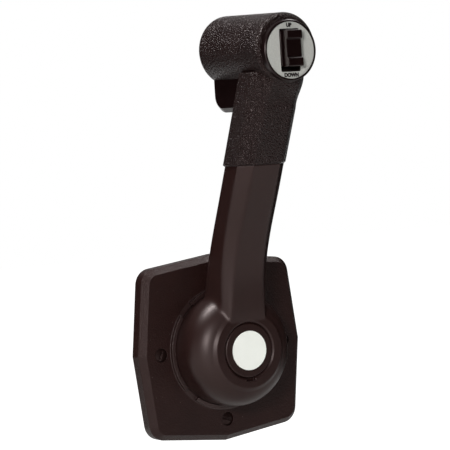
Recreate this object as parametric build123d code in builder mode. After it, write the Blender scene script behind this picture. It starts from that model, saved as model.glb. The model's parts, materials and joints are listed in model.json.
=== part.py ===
from build123d import *
import math
import os

# Side-mount boat engine control: one lever for gear shift and throttle, with a trim switch in its grip.
# Millimetres. +X points aft, +Y into the hull panel, +Z up. The origin is on the lever's pivot axis at
# the plate's back face. "Out" is the distance in front of that face, "behind" the distance at its back.

os.makedirs("parts", exist_ok=True)

# Fits and gaps
run_gap = 0.05
loose_gap = 0.3
wide_gap = 1.0
same_size = 0.01

# Mounting plate
plate_half_width = 68.5
plate_half_height = 68.0
plate_corner_x = 61.5
plate_corner_z = 60.5
plate_corner_radius = 12.0
plate_side_height = 8.0
plate_bevel_height = 4.8
plate_bevel_inset = 4.2
plate_rim = 7.0
plate_skin = 4.2
plate_rib = 3.0
plate_hub_radius = 16.0
plate_hub_behind = 3.0

# Raised ring round the lever's bell
ring_gap = 0.3
ring_width = 3.0
ring_height = 3.0
ring_notches = 4
ring_notch_angle = 16.0

# Screws that hold the plate on the panel
stud_radius = 2.5
stud_shank_radius = 2.8
stud_length = 22.0
stud_count = 4
stud_head_radius = 4.6
stud_head_height = 3.4
stud_recess = 4.4
stud_boss_radius = 8.5

# Seal in the plate's back face
seal_inset = 2.2
seal_width = 2.8
seal_depth = 1.6

# Main shaft and its bushes
shaft_radius = 5.5
shaft_flat = 4.6
shaft_end_radius = 4.4
shaft_bore = 2.5
shaft_head_radius = 11.0
shaft_head_height = 3.0
shaft_bore_spare = 2.0
bush_wall = 3.2
bush_flange_radius = 16.0
bush_flange = 1.8
bush_stand_out = 1.0
outer_bush_flange = 1.5
outer_bush_lip = 2.5
friction_washer_thickness = 1.2

# Steel ring with the neutral notch, and its screws
lock_ring_radius = 21.5
lock_ring_wall = 2.0
lock_ring_out = 21.5
lock_ring_base = 2.2
lock_ring_flange = 31.0
lock_screws = 3
lock_screw_start = 150.0
lock_screw_radius = 1.5
lock_screw_bite = 4.0

# Lever hub: a hollow bell with a flat round pad
bell_radius = 41.2
bell_corner = 18.0
bell_corner_out = 29.5
bell_wall = 3.2
bell_rib = 2.4
bell_ribs = 6
bell_gap = 0.8
rib_low_out = 24.0
pad_radius = 27.0
pad_out = 48.2
pad_rim_round = 1.5
pad_valley_radius = 29.6
pad_valley_round = 3.0
hub_boss_radius = 16.0
hub_floor = 3.4
hub_wall = 3.5
hub_screws = 3
hub_screw_circle = 8.2
hub_screw_radius = 1.4
hub_screw_length = 8.0

# Throttle-only button in the hub, and its clutch
button_well = 11.2
well_chamfer = 1.2
button_radius = 19.4
button_recess = 0.5
button_thickness = 3.0
button_skirt = 2.4
button_skirt_length = 3.0
button_travel = 4.0
button_chamfer = 0.6
button_socket = 1.5
badge_radius = 14.0
badge_thickness = 0.6
key_notch_half = 3.7
key_notch_height = 2.2
clutch_pin_radius = 1.4
clutch_pin_half = 8.5
push_rod_radius = 2.4
clutch_slot_spare = 0.3
button_spring_wire = 0.45
button_spring_radius = 5.2
button_spring_seat = 2.4
button_spring_seat_half = 0.8

# Lever arm, as heights up the arm and distances out from the panel
arm_start_z = 18.0
arm_pad_z = 22.0
arm_hub_z = 34.0
arm_bend_z = 66.0
arm_bend_run = 9.0
arm_collar_z = 132.0
arm_half_width_hub = 18.3
arm_half_width_collar = 19.4
arm_front_bend = 54.7
arm_front_slope = 0.468
arm_edge_hub = 44.4
arm_edge_bend = 48.6
arm_edge_slope = 0.435
arm_back_hub = 18.0
arm_back_bend = 28.2
arm_back_slope = 0.472
arm_chamfer_hub = 4.4
arm_chamfer_bend = 6.6
arm_chamfer_collar = 8.4
arm_back_chamfer = 2.0
arm_blend = 5.0
tang_inset = 4.5
tang_top_z = 176.0
tang_gap = 0.15
channel_half = 3.2
channel_low_z = 30.0
channel_high_z = 133.0

# Grip: a sleeve up the arm and a barrel across its top
sleeve_wall = 1.2
sleeve_lip = 0.9
sleeve_edge_share = 0.4
sleeve_rounding = 5.0
sleeve_top_z = 196.0
flare_low_z = 170.0
flare_z = 188.0
flare_reach = 3.0
barrel_radius_far = 24.6
barrel_radius_near = 24.1
barrel_far_out = 41.0
barrel_near_out = 118.6
barrel_far_z = 213.0
barrel_near_z = 211.1
barrel_far_round = 5.0
barrel_near_round = 3.0
slot_low_z = 185.0
grip_screw_x = 9.5
grip_screw_z = 148.0
grip_screw_radius = 1.5
grip_screw_head_radius = 2.8
grip_screw_head_height = 1.8
grip_screw_length = 12.0
grip_screw_cover = 1.0

# Trim switch in the grip's end
switch_z = 209.1
switch_plate_out = 122.6
switch_plate_radius = 19.33
switch_plate_thickness = 1.2
switch_bore_radius = 18.4
end_ring_radius = 20.9
end_ring_lip = 0.7
end_ring_seat = 3.0
end_ring_chamfer = 0.6
cutout_half_width = 8.1
cutout_half_height = 14.6
cutout_round = 1.0
switch_body_wall = 0.8
switch_body_depth = 22.0
switch_well = 9.2
switch_well_gap = 1.0
terminal_width = 4.0
terminal_thickness = 0.8
terminal_length = 4.0
rocker_half_width = 6.0
rocker_half_height = 12.3
rocker_z = 210.3
rocker_out = 129.3
rocker_block = 5.6
rocker_dip = 1.7
rocker_ramp = 0.8
rocker_round = 0.8
rocker_pivot_out = 116.6
rocker_back = 1.8
rocker_hub_radius = 3.0
rocker_pin_radius = 1.0

# Neutral-lock bar under the barrel, with its rod down the arm
bar_half_width = 14.0
bar_bottom_z = 169.5
bar_top_z = 193.0
bar_far_out = 41.9
bar_corner = 12.0
bar_chamfer = 3.2
bar_travel = 6.5
bar_lug_half = 4.0
bar_lug_reach = 4.0
bar_lug_height = 10.5
bar_gap = 1.0
rod_radius = 2.0
rod_grip = 8.5
rod_low_z = 36.0
rod_low_out = 24.0
rod_slope = 0.381
rod_tip_z = 24.6
rod_collar_z = 96.0
rod_collar_radius = 2.9
rod_collar_length = 2.0
guide_high_z = 118.0
guide_low_z = 50.0
guide_length = 6.0
guide_back = 2.4
lock_spring_wire = 0.35
lock_spring_radius = 2.55

# Gear case behind the plate
case_room = 11.0
case_wall = 3.0
case_depth = 24.0
cover_thickness = 4.0
cover_thrust_inner = 9.2
cover_thrust_outer = 11.5
case_boss_inset = 6.0
case_boss_radius = 3.9
case_screw_count = 4
case_screw_radius = 1.8
case_screw_bite = 7.0
case_screw_head_radius = 3.2
case_screw_head_height = 2.4
grommet_x = -17.0
grommet_z = 14.0
grommet_radius = 5.0
grommet_bore = 3.0
grommet_lip = 2.0

# Detent, gears and shift shaft behind the plate
cam_thickness = 3.5
cam_radius = 15.0
cam_hub_radius = 8.5
cam_hub_length = 1.2
detent_angle = 30.0
detent_radius = 2.2
detent_nose = 1.9
detent_drop = 1.2
detent_strip = 0.8
detent_eye_wall = 1.4
detent_post_x = -27.0
detent_post_z = 12.0
detent_post_radius = 2.0
gear_module = 1.5
gear_teeth = 12
sector_teeth = 24
sector_drawn_teeth = 8
pressure_angle = 25.0
tooth_backlash = 0.2
tooth_top = 0.85
tooth_root = 1.15
gear_width = 6.0
gear_boss_radius = 11.0
gear_boss_length = 5.0
clutch_slot_depth = 4.0
sector_hub_radius = 7.0
shift_shaft_radius = 4.0
shift_shaft_bite = 4.0
shift_flat = 3.4

# Arms and cable bracket at the very back
shift_arm_length = 29.0
shift_arm_thickness = 3.4
shift_arm_step = 1.8
crank_length = 26.0
crank_thickness = 4.0
crank_gap = 3.0
arm_end_radius = 6.0
cable_pin_radius = 2.5
cable_pin_length = 10.0
rivet_radius = 2.0
nut_radius = 8.0
nut_height = 4.0
nut_chamfer = 0.6
clip_radius = 6.0
clip_thickness = 1.0
clip_groove_radius = 3.2
clip_mouth = 5.1
bracket_thickness = 3.0
bracket_inner_x = 15.0
bracket_shoulder = 34.0
bracket_foot_x = 47.0
bracket_reach = 62.0
bracket_depth = 28.0
bracket_top_z = 14.0
bracket_low_z = -66.0
bracket_round = 4.0
cable_bore_radius = 4.8
cable_boss_radius = 8.0
cable_boss_length = 12.0
throttle_cable_behind = 47.0
shift_cable_behind = 40.0


def line_at(z, hub_value, bend_value, upper_slope):
    """Distance out at height z: one straight run below the bend and another above it."""
    lower_slope = (bend_value - hub_value) / (arm_bend_z - arm_hub_z)
    if z <= arm_bend_z:
        return hub_value + lower_slope * (z - arm_hub_z)
    return bend_value + upper_slope * (z - arm_bend_z)


def arm_front(z):
    return line_at(z, arm_front_hub, arm_front_bend, arm_front_slope)


def arm_edge(z):
    return line_at(z, arm_edge_hub, arm_edge_bend, arm_edge_slope)


def arm_back(z):
    return line_at(z, arm_back_hub, arm_back_bend, arm_back_slope)


def arm_half_width(z):
    share = (z - arm_hub_z) / (arm_collar_z - arm_hub_z)
    return arm_half_width_hub + share * (arm_half_width_collar - arm_half_width_hub)


def arm_chamfer(z):
    upper_slope = (arm_chamfer_collar - arm_chamfer_bend) / (arm_collar_z - arm_bend_z)
    return line_at(z, arm_chamfer_hub, arm_chamfer_bend, upper_slope)


def rod_out(z):
    return rod_low_out + rod_slope * (z - rod_low_z)


def sleeve_back(z):
    return arm_back(z) - sleeve_wall


def sleeve_flare(z):
    """How far the sleeve's front swells toward the barrel's near end at height z."""
    if z > flare_z:
        return flare_reach * (sleeve_top_z - z) / (sleeve_top_z - flare_z)
    return flare_reach * ((z - flare_low_z) / (flare_z - flare_low_z)) ** 2


rod_lean = math.degrees(math.atan(rod_slope))


def rod_plane(z):
    """Plane across the lock rod at height z, facing up along the rod."""
    direction = (0, -math.sin(math.radians(rod_lean)), math.cos(math.radians(rod_lean)))
    return Plane(origin=(0, -rod_out(z), z), x_dir=(1, 0, 0), z_dir=direction)


def level_section(z, grow=0.0, rounding=0.0, flare=0.0):
    """The arm's level section, with its walls moved out by grow, its front corners rounded and its front
    moved out by flare, as a sketch."""
    half = arm_half_width(z) + grow
    front = -(arm_front(z) + grow + flare)
    edge = -(arm_edge(z) + grow * sleeve_edge_share + flare)
    back = -(arm_back(z) - grow)
    flat = half - arm_chamfer(z)
    right = [(flat, front), (half, edge), (half, back - arm_back_chamfer), (half - arm_back_chamfer, back)]
    left = [(-x, y) for x, y in reversed(right)]
    with BuildSketch() as section:
        Polygon(*right, *left, align=None)
        if rounding:
            fillet(section.vertices().sort_by(Axis.Y)[:4], radius=rounding)
    return section.sketch


def flatted_round(radius, half_flat):
    """Round with two flats, as a sketch."""
    with BuildSketch() as shape:
        Circle(radius)
        Rectangle(2 * radius, 2 * half_flat, mode=Mode.INTERSECT)
    return shape.sketch


def draw_ring(outer, inner):
    Circle(outer)
    Circle(inner, mode=Mode.SUBTRACT)


def out_plane(out):
    """Plane parallel to the panel, seen from the front, at a distance in front of the plate's back."""
    return Plane.XZ.offset(out)


def shift_plane(behind):
    """Plane parallel to the panel behind the plate, with its origin on the shift shaft's axis."""
    return Plane(origin=(0, behind, shift_z), x_dir=(1, 0, 0), z_dir=(0, -1, 0))


def turned_points(*points):
    """Points given as (radius, out), for a profile that is turned round the pivot axis."""
    return [(radius, -out) for radius, out in points]


def save(piece, name):
    piece.part.label = name
    export_step(piece.part, f"parts/{name}.step")


# Places that follow from the sizes above
plate_out = plate_side_height + plate_bevel_height
arm_front_hub = pad_out + (arm_front_bend - pad_out) * (arm_hub_z - arm_pad_z) / (arm_bend_z - arm_pad_z)
shift_z = -gear_module * (gear_teeth + sector_teeth) / 2
case_inner = case_room - shift_z
case_radius = case_inner + case_wall
case_boss_circle = case_radius - case_boss_inset
ring_inner = bell_radius + ring_gap
ring_outer = ring_inner + ring_width
stud_circle = (case_radius + plate_half_height - seal_inset - seal_width) / 2
bush_outer = shaft_radius + bush_wall
shift_bush_outer = shift_shaft_radius + bush_wall
bush_front_out = plate_out + bush_flange
hub_back_out = bush_front_out + friction_washer_thickness
bell_base_out = plate_out + bell_gap
well_floor_out = pad_out - button_well
cover_behind = case_depth + cover_thickness
crank_front_behind = cover_behind + outer_bush_flange + loose_gap
arm_hub_behind = crank_front_behind
cam_behind = plate_hub_behind + loose_gap
gear_behind = cam_behind + cam_thickness + cam_hub_length
gear_boss_behind = gear_behind + gear_width
gear_back_behind = gear_boss_behind + gear_boss_length
clutch_pin_behind = gear_back_behind - clutch_slot_depth / 2
shift_arm_behind = arm_hub_behind + shift_arm_step
crank_behind = shift_arm_behind + shift_arm_thickness + crank_gap
shift_arm_back = shift_arm_behind + shift_arm_thickness
crank_back = crank_behind + crank_thickness
shaft_back = crank_back + nut_height + loose_gap
shift_pin_z = shift_z - shift_arm_length
switch_back_out = switch_plate_out - switch_plate_thickness
switch_well_out = switch_back_out - switch_body_depth - terminal_length - switch_well_gap
end_ring_out = switch_plate_out + end_ring_lip
rod_top_z = bar_bottom_z + rod_grip
slot_top_z = bar_top_z + bar_travel + bar_gap
lug_top_z = bar_bottom_z + bar_lug_height
pocket_top_z = lug_top_z + bar_travel + bar_gap
push_rod_back = clutch_pin_behind + 2 * clutch_pin_radius
clutch_slot_front = clutch_pin_behind - clutch_pin_radius - clutch_slot_spare
clutch_slot_back = clutch_pin_behind + button_travel + clutch_pin_radius + clutch_slot_spare
shaft_bore_end = push_rod_back + button_travel + shaft_bore_spare
cam_back = cam_behind + cam_thickness
sector_hub_back = case_depth - bush_stand_out - loose_gap
grip_screw_spots = [(-grip_screw_x, grip_screw_z), (grip_screw_x, grip_screw_z)]
grip_screw_seat_out = sleeve_back(grip_screw_z) + grip_screw_cover + grip_screw_head_height
grip_screw_tip_out = grip_screw_seat_out + grip_screw_length
stud_seat_out = plate_out - stud_recess

# Mounting plate: bevelled, cored out from behind, with a notched ring round the bell
outline_points = [(plate_half_width, 0), (plate_corner_x, plate_corner_z), (0, plate_half_height),
                  (-plate_corner_x, plate_corner_z), (-plate_half_width, 0),
                  (-plate_corner_x, -plate_corner_z), (0, -plate_half_height),
                  (plate_corner_x, -plate_corner_z)]


def plate_outline(inset=0.0):
    """Eight-sided outline with four rounded corners, moved in by inset."""
    with BuildSketch() as outline:
        Polygon(*outline_points, align=None)
        fillet([v for v in outline.vertices() if abs(v.X) > 1 and abs(v.Y) > 1], radius=plate_corner_radius)
        if inset:
            offset(amount=-inset)
    return outline.sketch


full_outline = plate_outline()
cored_outline = plate_outline(plate_rim)
seal_outline = plate_outline(seal_inset)
seal_inner_outline = plate_outline(seal_inset + seal_width)
lock_screw_spots = (lock_ring_radius + lock_ring_wall + lock_ring_flange) / 2

with BuildPart() as mounting_plate:
    with BuildSketch(out_plane(0)):
        add(full_outline)
    extrude(amount=plate_side_height)
    with BuildSketch(out_plane(plate_side_height)):
        add(full_outline)
    extrude(amount=plate_bevel_height, taper=math.degrees(math.atan2(plate_bevel_inset, plate_bevel_height)))
    with BuildSketch(out_plane(plate_out)):
        draw_ring(ring_outer, ring_inner)
        with PolarLocations(ring_inner, ring_notches, start_angle=180 / ring_notches):
            Rectangle(3 * ring_width, 2 * ring_inner * math.sin(math.radians(ring_notch_angle / 2)),
                      mode=Mode.SUBTRACT)
    extrude(amount=ring_height)
    with BuildSketch(out_plane(0)):
        add(cored_outline)
        Circle(case_radius + plate_rib, mode=Mode.SUBTRACT)
        with PolarLocations(stud_circle, stud_count):
            Circle(stud_boss_radius, mode=Mode.SUBTRACT)
        with PolarLocations(0, stud_count, start_angle=180 / stud_count):
            Rectangle(4 * plate_half_width, plate_rib, mode=Mode.SUBTRACT)
    extrude(amount=plate_out - plate_skin, mode=Mode.SUBTRACT)
    with BuildSketch(out_plane(0)):
        add(seal_outline)
        add(seal_inner_outline, mode=Mode.SUBTRACT)
    extrude(amount=seal_depth, mode=Mode.SUBTRACT)
    with BuildSketch(out_plane(0)):
        Circle(plate_hub_radius)
        with Locations((0, shift_z)):
            Circle(shift_bush_outer)
    extrude(amount=-plate_hub_behind)
    with BuildSketch(out_plane(0)):
        with Locations((detent_post_x, detent_post_z)):
            Circle(detent_post_radius)
    extrude(amount=-(cam_behind + cam_thickness))
    with Locations(out_plane(plate_out)):
        with PolarLocations(stud_circle, stud_count):
            CounterBoreHole(stud_shank_radius + run_gap, stud_head_radius + loose_gap, stud_recess, plate_out)
        with PolarLocations(lock_screw_spots, lock_screws, start_angle=lock_screw_start):
            Hole(lock_screw_radius, lock_screw_bite)
    with BuildSketch(out_plane(-plate_hub_behind)):
        Circle(bush_outer)
    extrude(amount=plate_out + plate_hub_behind, mode=Mode.SUBTRACT)
    with BuildSketch(out_plane(-plate_hub_behind)):
        with Locations((0, shift_z)):
            Circle(shift_shaft_radius + run_gap)
    extrude(amount=plate_hub_behind + shift_shaft_bite, mode=Mode.SUBTRACT)
    with BuildSketch(out_plane(0)):
        with PolarLocations(case_boss_circle, case_screw_count, start_angle=180 / case_screw_count):
            Circle(case_screw_radius)
    extrude(amount=case_screw_bite, mode=Mode.SUBTRACT)
save(mounting_plate, "mounting_plate")

with BuildPart() as panel_seal:
    with BuildSketch(out_plane(0)):
        add(seal_outline)
        add(seal_inner_outline, mode=Mode.SUBTRACT)
    extrude(amount=seal_depth)
save(panel_seal, "panel_seal")

# Four screws through the plate into the hull panel
with BuildPart() as panel_screws:
    with BuildSketch(out_plane(stud_seat_out)):
        with PolarLocations(stud_circle, stud_count):
            Circle(stud_head_radius)
    extrude(amount=stud_head_height)
    with BuildSketch(out_plane(stud_seat_out)):
        with PolarLocations(stud_circle, stud_count):
            Circle(stud_shank_radius)
    extrude(amount=-stud_seat_out)
    with BuildSketch(out_plane(0)):
        with PolarLocations(stud_circle, stud_count):
            Circle(stud_radius)
    extrude(amount=-stud_length)
save(panel_screws, "panel_screws")

# Flanged bush in the plate, and the washer that gives the lever its friction
with BuildPart() as front_bush:
    with BuildSketch(out_plane(-plate_hub_behind)):
        draw_ring(bush_outer, shaft_radius + run_gap)
    extrude(amount=plate_hub_behind + plate_out)
    with BuildSketch(out_plane(plate_out)):
        draw_ring(bush_flange_radius, shaft_radius + run_gap)
    extrude(amount=bush_flange)
save(front_bush, "front_bush")

with BuildPart() as friction_washer:
    with BuildSketch(out_plane(bush_front_out)):
        draw_ring(bush_flange_radius - wide_gap, shaft_radius + loose_gap)
    extrude(amount=friction_washer_thickness)
save(friction_washer, "friction_washer")

# Steel ring with the neutral notch, screwed to the plate inside the bell
with BuildPart() as neutral_lock_ring:
    with BuildSketch(out_plane(plate_out)):
        draw_ring(lock_ring_flange, lock_ring_radius - lock_ring_wall)
    extrude(amount=lock_ring_base)
    with BuildSketch(out_plane(plate_out)):
        draw_ring(lock_ring_radius + lock_ring_wall, lock_ring_radius - lock_ring_wall)
    extrude(amount=lock_ring_out - plate_out)
    with BuildSketch(out_plane(plate_out + lock_ring_base)):
        with Locations((0, lock_ring_radius)):
            Rectangle(2 * rod_radius + 2 * loose_gap, 4 * lock_ring_wall)
    extrude(amount=lock_ring_out, mode=Mode.SUBTRACT)
    with BuildSketch(out_plane(plate_out)):
        with PolarLocations(lock_screw_spots, lock_screws, start_angle=lock_screw_start):
            Circle(lock_screw_radius)
    extrude(amount=lock_ring_base, mode=Mode.SUBTRACT)
save(neutral_lock_ring, "neutral_lock_ring")

with BuildPart() as lock_ring_screws:
    with BuildSketch(out_plane(plate_out - lock_screw_bite)):
        with PolarLocations(lock_screw_spots, lock_screws, start_angle=lock_screw_start):
            Circle(lock_screw_radius)
    extrude(amount=lock_screw_bite + lock_ring_base)
    with BuildSketch(out_plane(plate_out + lock_ring_base)):
        with PolarLocations(lock_screw_spots, lock_screws, start_angle=lock_screw_start):
            Circle(2 * lock_screw_radius)
    extrude(amount=lock_screw_radius)
save(lock_ring_screws, "lock_ring_screws")

# Lever arm: a bent tapering arm with broad front chamfers, growing out of a hollow bell
bell_centre = bell_radius - bell_corner
valley_out = bell_corner_out + math.sqrt(bell_corner**2 - (pad_valley_radius - bell_centre) ** 2)
inner_corner = bell_corner - bell_wall
hub_block_radius = button_radius + loose_gap + hub_wall
hub_block_out = well_floor_out - hub_floor


def on_bell(radius, angle):
    """Point on the bell's rounded corner, as (radius, out)."""
    return (bell_centre + radius * math.cos(angle), bell_corner_out + radius * math.sin(angle))


with BuildPart() as lever_arm:
    for height in (arm_start_z, arm_hub_z, arm_bend_z - arm_bend_run, arm_bend_z + arm_bend_run,
                   arm_collar_z - 2 * arm_bend_run, arm_collar_z):
        with BuildSketch(Plane.XY.offset(height)):
            add(level_section(height))
    loft()
    with BuildSketch(Plane.XY):
        with BuildLine():
            Polyline(turned_points((pad_valley_radius, valley_out), (pad_radius, pad_out), (0, pad_out),
                                   (0, bell_base_out), (bell_radius, bell_base_out),
                                   (bell_radius, bell_corner_out)))
            valley_angle = math.atan2(valley_out - bell_corner_out, pad_valley_radius - bell_centre)
            ThreePointArc(turned_points((bell_radius, bell_corner_out))[0],
                          turned_points(on_bell(bell_corner, valley_angle / 2))[0],
                          turned_points((pad_valley_radius, valley_out))[0])
        bell_profile = make_face()
        corners = bell_profile.vertices()
        fillet(corners.filter_by(lambda v: abs(v.X - pad_valley_radius) < same_size), radius=pad_valley_round)
        fillet(corners.filter_by(lambda v: abs(v.X - pad_radius) < same_size), radius=pad_rim_round)
    revolve(axis=Axis.Y)
    junction = [e for e in lever_arm.edges()
                if arm_pad_z < e.center().Z < bell_radius - bell_wall and e.center().Y < -arm_back_hub - 2 * arm_back_chamfer
                and arm_half_width_hub - arm_chamfer_hub < abs(e.center().X) < arm_half_width_collar]
    fillet(junction, radius=arm_blend)
    # Hollow inside, round a hub block and boss
    with BuildSketch(Plane.XY):
        with BuildLine():
            Polyline(turned_points((bell_centre, bell_corner_out + inner_corner), (hub_block_radius,
                                   bell_corner_out + inner_corner), (hub_block_radius, hub_block_out),
                                   (hub_boss_radius, hub_block_out), (hub_boss_radius, 0),
                                   (bell_radius - bell_wall, 0), (bell_radius - bell_wall, bell_corner_out)))
            ThreePointArc(turned_points((bell_radius - bell_wall, bell_corner_out))[0],
                          turned_points(on_bell(inner_corner, math.pi / 4))[0],
                          turned_points((bell_centre, bell_corner_out + inner_corner))[0])
        make_face()
    revolve(axis=Axis.Y, mode=Mode.SUBTRACT)
    # Ribs, shaft bore and the screws of the shaft's flange
    with BuildSketch(out_plane(rib_low_out)):
        with PolarLocations((hub_boss_radius + bell_radius - bell_wall) / 2, bell_ribs):
            Rectangle(bell_radius - bell_wall - hub_boss_radius + bell_rib, bell_rib)
    extrude(amount=hub_block_out - rib_low_out)
    with BuildSketch(out_plane(hub_back_out)):
        Circle(shaft_radius)
    extrude(amount=pad_out, mode=Mode.SUBTRACT)
    with BuildSketch(out_plane(hub_back_out)):
        Circle(hub_boss_radius + wide_gap)
    extrude(amount=-hub_back_out, mode=Mode.SUBTRACT)
    with BuildSketch(out_plane(well_floor_out)):
        Circle(button_radius + loose_gap)
    extrude(amount=pad_out, mode=Mode.SUBTRACT)
    well_radius = button_radius + loose_gap
    with BuildSketch(Plane.XY):
        Polygon(*turned_points((well_radius, pad_out - well_chamfer), (well_radius, pad_out),
                               (well_radius + well_chamfer, pad_out)), align=None)
    revolve(axis=Axis.Y, mode=Mode.SUBTRACT)
    with BuildSketch(out_plane(pad_out - button_skirt_length)):
        with Locations((0, -button_radius - loose_gap)):
            Rectangle(2 * key_notch_half, 2 * key_notch_height)
    extrude(amount=pad_out, mode=Mode.SUBTRACT)
    with BuildSketch(out_plane(well_floor_out)):
        with PolarLocations(hub_screw_circle, hub_screws):
            Circle(hub_screw_radius)
    extrude(amount=-(hub_screw_length - shaft_head_height), mode=Mode.SUBTRACT)
    # Channel for the lock rod, open to the back of the arm
    with BuildSketch(Plane.YZ):
        Polygon((-rod_out(channel_low_z) - channel_half, channel_low_z),
                (-rod_out(channel_high_z) - channel_half, channel_high_z),
                (0, channel_high_z), (0, channel_low_z), align=None)
    extrude(amount=channel_half, both=True, mode=Mode.SUBTRACT)
    # Tang that the grip is pushed on
    with BuildSketch(Plane.XY.offset(arm_collar_z)):
        add(level_section(arm_collar_z, -tang_inset))
    with BuildSketch(Plane.XY.offset(tang_top_z)):
        add(level_section(tang_top_z, -tang_inset))
    loft()
    with BuildSketch(Plane.XZ):
        with Locations(*grip_screw_spots):
            Circle(grip_screw_radius)
    extrude(amount=grip_screw_tip_out, mode=Mode.SUBTRACT)
save(lever_arm, "lever_arm")

# Grip: a moulded sleeve and barrel in one, hollow for the tang, the switch and the lock bar
with BuildPart() as grip_shell:
    for height, grow in ((arm_collar_z, sleeve_wall - sleeve_lip), (arm_collar_z + sleeve_lip, sleeve_wall),
                         (flare_low_z, sleeve_wall)):
        with BuildSketch(Plane.XY.offset(height)):
            add(level_section(height, grow, sleeve_rounding))
    loft(ruled=True)
    for height in (flare_low_z, (flare_low_z + flare_z) / 2, flare_z, sleeve_top_z):
        with BuildSketch(Plane.XY.offset(height)):
            add(level_section(height, sleeve_wall, sleeve_rounding, sleeve_flare(height)))
    loft()
    with BuildSketch(out_plane(barrel_far_out)):
        with Locations((0, barrel_far_z)):
            Circle(barrel_radius_far)
    with BuildSketch(out_plane(barrel_near_out)):
        with Locations((0, barrel_near_z)):
            Circle(barrel_radius_near)
    loft(ruled=True)
    fillet(grip_shell.faces().sort_by(Axis.Y)[-1].edges(), radius=barrel_far_round)
    fillet(grip_shell.faces().sort_by(Axis.Y)[0].edges(), radius=barrel_near_round)
    # Socket for the tang
    with BuildSketch(Plane.XY.offset(arm_collar_z)):
        add(level_section(arm_collar_z, tang_gap - tang_inset))
    with BuildSketch(Plane.XY.offset(tang_top_z + tang_gap)):
        add(level_section(tang_top_z + tang_gap, tang_gap - tang_inset))
    loft(mode=Mode.SUBTRACT)
    # Well for the switch and seat for the end ring
    with BuildSketch(out_plane(barrel_near_out)):
        with Locations((0, switch_z)):
            Circle(switch_bore_radius)
    extrude(amount=-(barrel_near_out - switch_well_out), mode=Mode.SUBTRACT)
    with BuildSketch(out_plane(barrel_near_out - end_ring_seat)):
        with Locations((0, switch_z)):
            Circle(end_ring_radius)
    extrude(amount=2 * end_ring_seat, mode=Mode.SUBTRACT)
    # Slot for the lock bar, pocket for its lug and groove for its rod
    with BuildSketch(Plane.YZ):
        Polygon((0, slot_low_z), (0, slot_top_z), (-sleeve_back(slot_top_z), slot_top_z),
                (-sleeve_back(slot_low_z), slot_low_z), align=None)
    extrude(amount=bar_half_width + loose_gap, both=True, mode=Mode.SUBTRACT)
    with BuildSketch(Plane.YZ):
        Polygon((0, bar_bottom_z - bar_gap), (0, pocket_top_z),
                (-sleeve_back(pocket_top_z) - bar_lug_reach, pocket_top_z),
                (-sleeve_back(bar_bottom_z - bar_gap) - bar_lug_reach, bar_bottom_z - bar_gap), align=None)
    extrude(amount=bar_lug_half + loose_gap, both=True, mode=Mode.SUBTRACT)
    with BuildSketch(Plane.YZ):
        Polygon((-rod_out(arm_collar_z) - channel_half, arm_collar_z),
                (-rod_out(slot_low_z) - channel_half, slot_low_z), (0, slot_low_z), (0, arm_collar_z), align=None)
    extrude(amount=channel_half, both=True, mode=Mode.SUBTRACT)
    with BuildSketch(Plane.XZ):
        with Locations(*grip_screw_spots):
            Circle(grip_screw_radius)
    extrude(amount=grip_screw_tip_out, mode=Mode.SUBTRACT)
    with BuildSketch(Plane.XZ):
        with Locations(*grip_screw_spots):
            Circle(grip_screw_head_radius)
    extrude(amount=grip_screw_seat_out, mode=Mode.SUBTRACT)
save(grip_shell, "grip_shell")

with BuildPart() as grip_screws:
    with BuildSketch(out_plane(grip_screw_seat_out)):
        with Locations(*grip_screw_spots):
            Circle(grip_screw_radius)
    extrude(amount=grip_screw_tip_out - grip_screw_seat_out)
    with BuildSketch(out_plane(grip_screw_seat_out)):
        with Locations(*grip_screw_spots):
            Circle(grip_screw_head_radius)
    extrude(amount=-grip_screw_head_height)
save(grip_screws, "grip_screws")

# Ring, printed plate, switch and rocker in the end of the grip
with BuildPart() as grip_end_ring:
    with BuildSketch(out_plane(barrel_near_out - end_ring_seat)):
        with Locations((0, switch_z)):
            Circle(end_ring_radius)
            Circle(switch_bore_radius, mode=Mode.SUBTRACT)
    extrude(amount=end_ring_out - barrel_near_out + end_ring_seat)
    with BuildSketch(out_plane(switch_back_out)):
        with Locations((0, switch_z)):
            Circle(switch_plate_radius)
    extrude(amount=end_ring_out, mode=Mode.SUBTRACT)
    chamfer(grip_end_ring.edges().group_by(Axis.Y)[0].sort_by(SortBy.LENGTH)[-1], length=end_ring_chamfer)
save(grip_end_ring, "grip_end_ring")

with BuildPart() as switch_plate:
    with BuildSketch(out_plane(switch_back_out)):
        with Locations((0, switch_z)):
            Circle(switch_plate_radius)
            RectangleRounded(2 * cutout_half_width, 2 * cutout_half_height, cutout_round, mode=Mode.SUBTRACT)
    extrude(amount=switch_plate_thickness)
save(switch_plate, "switch_plate")

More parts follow.
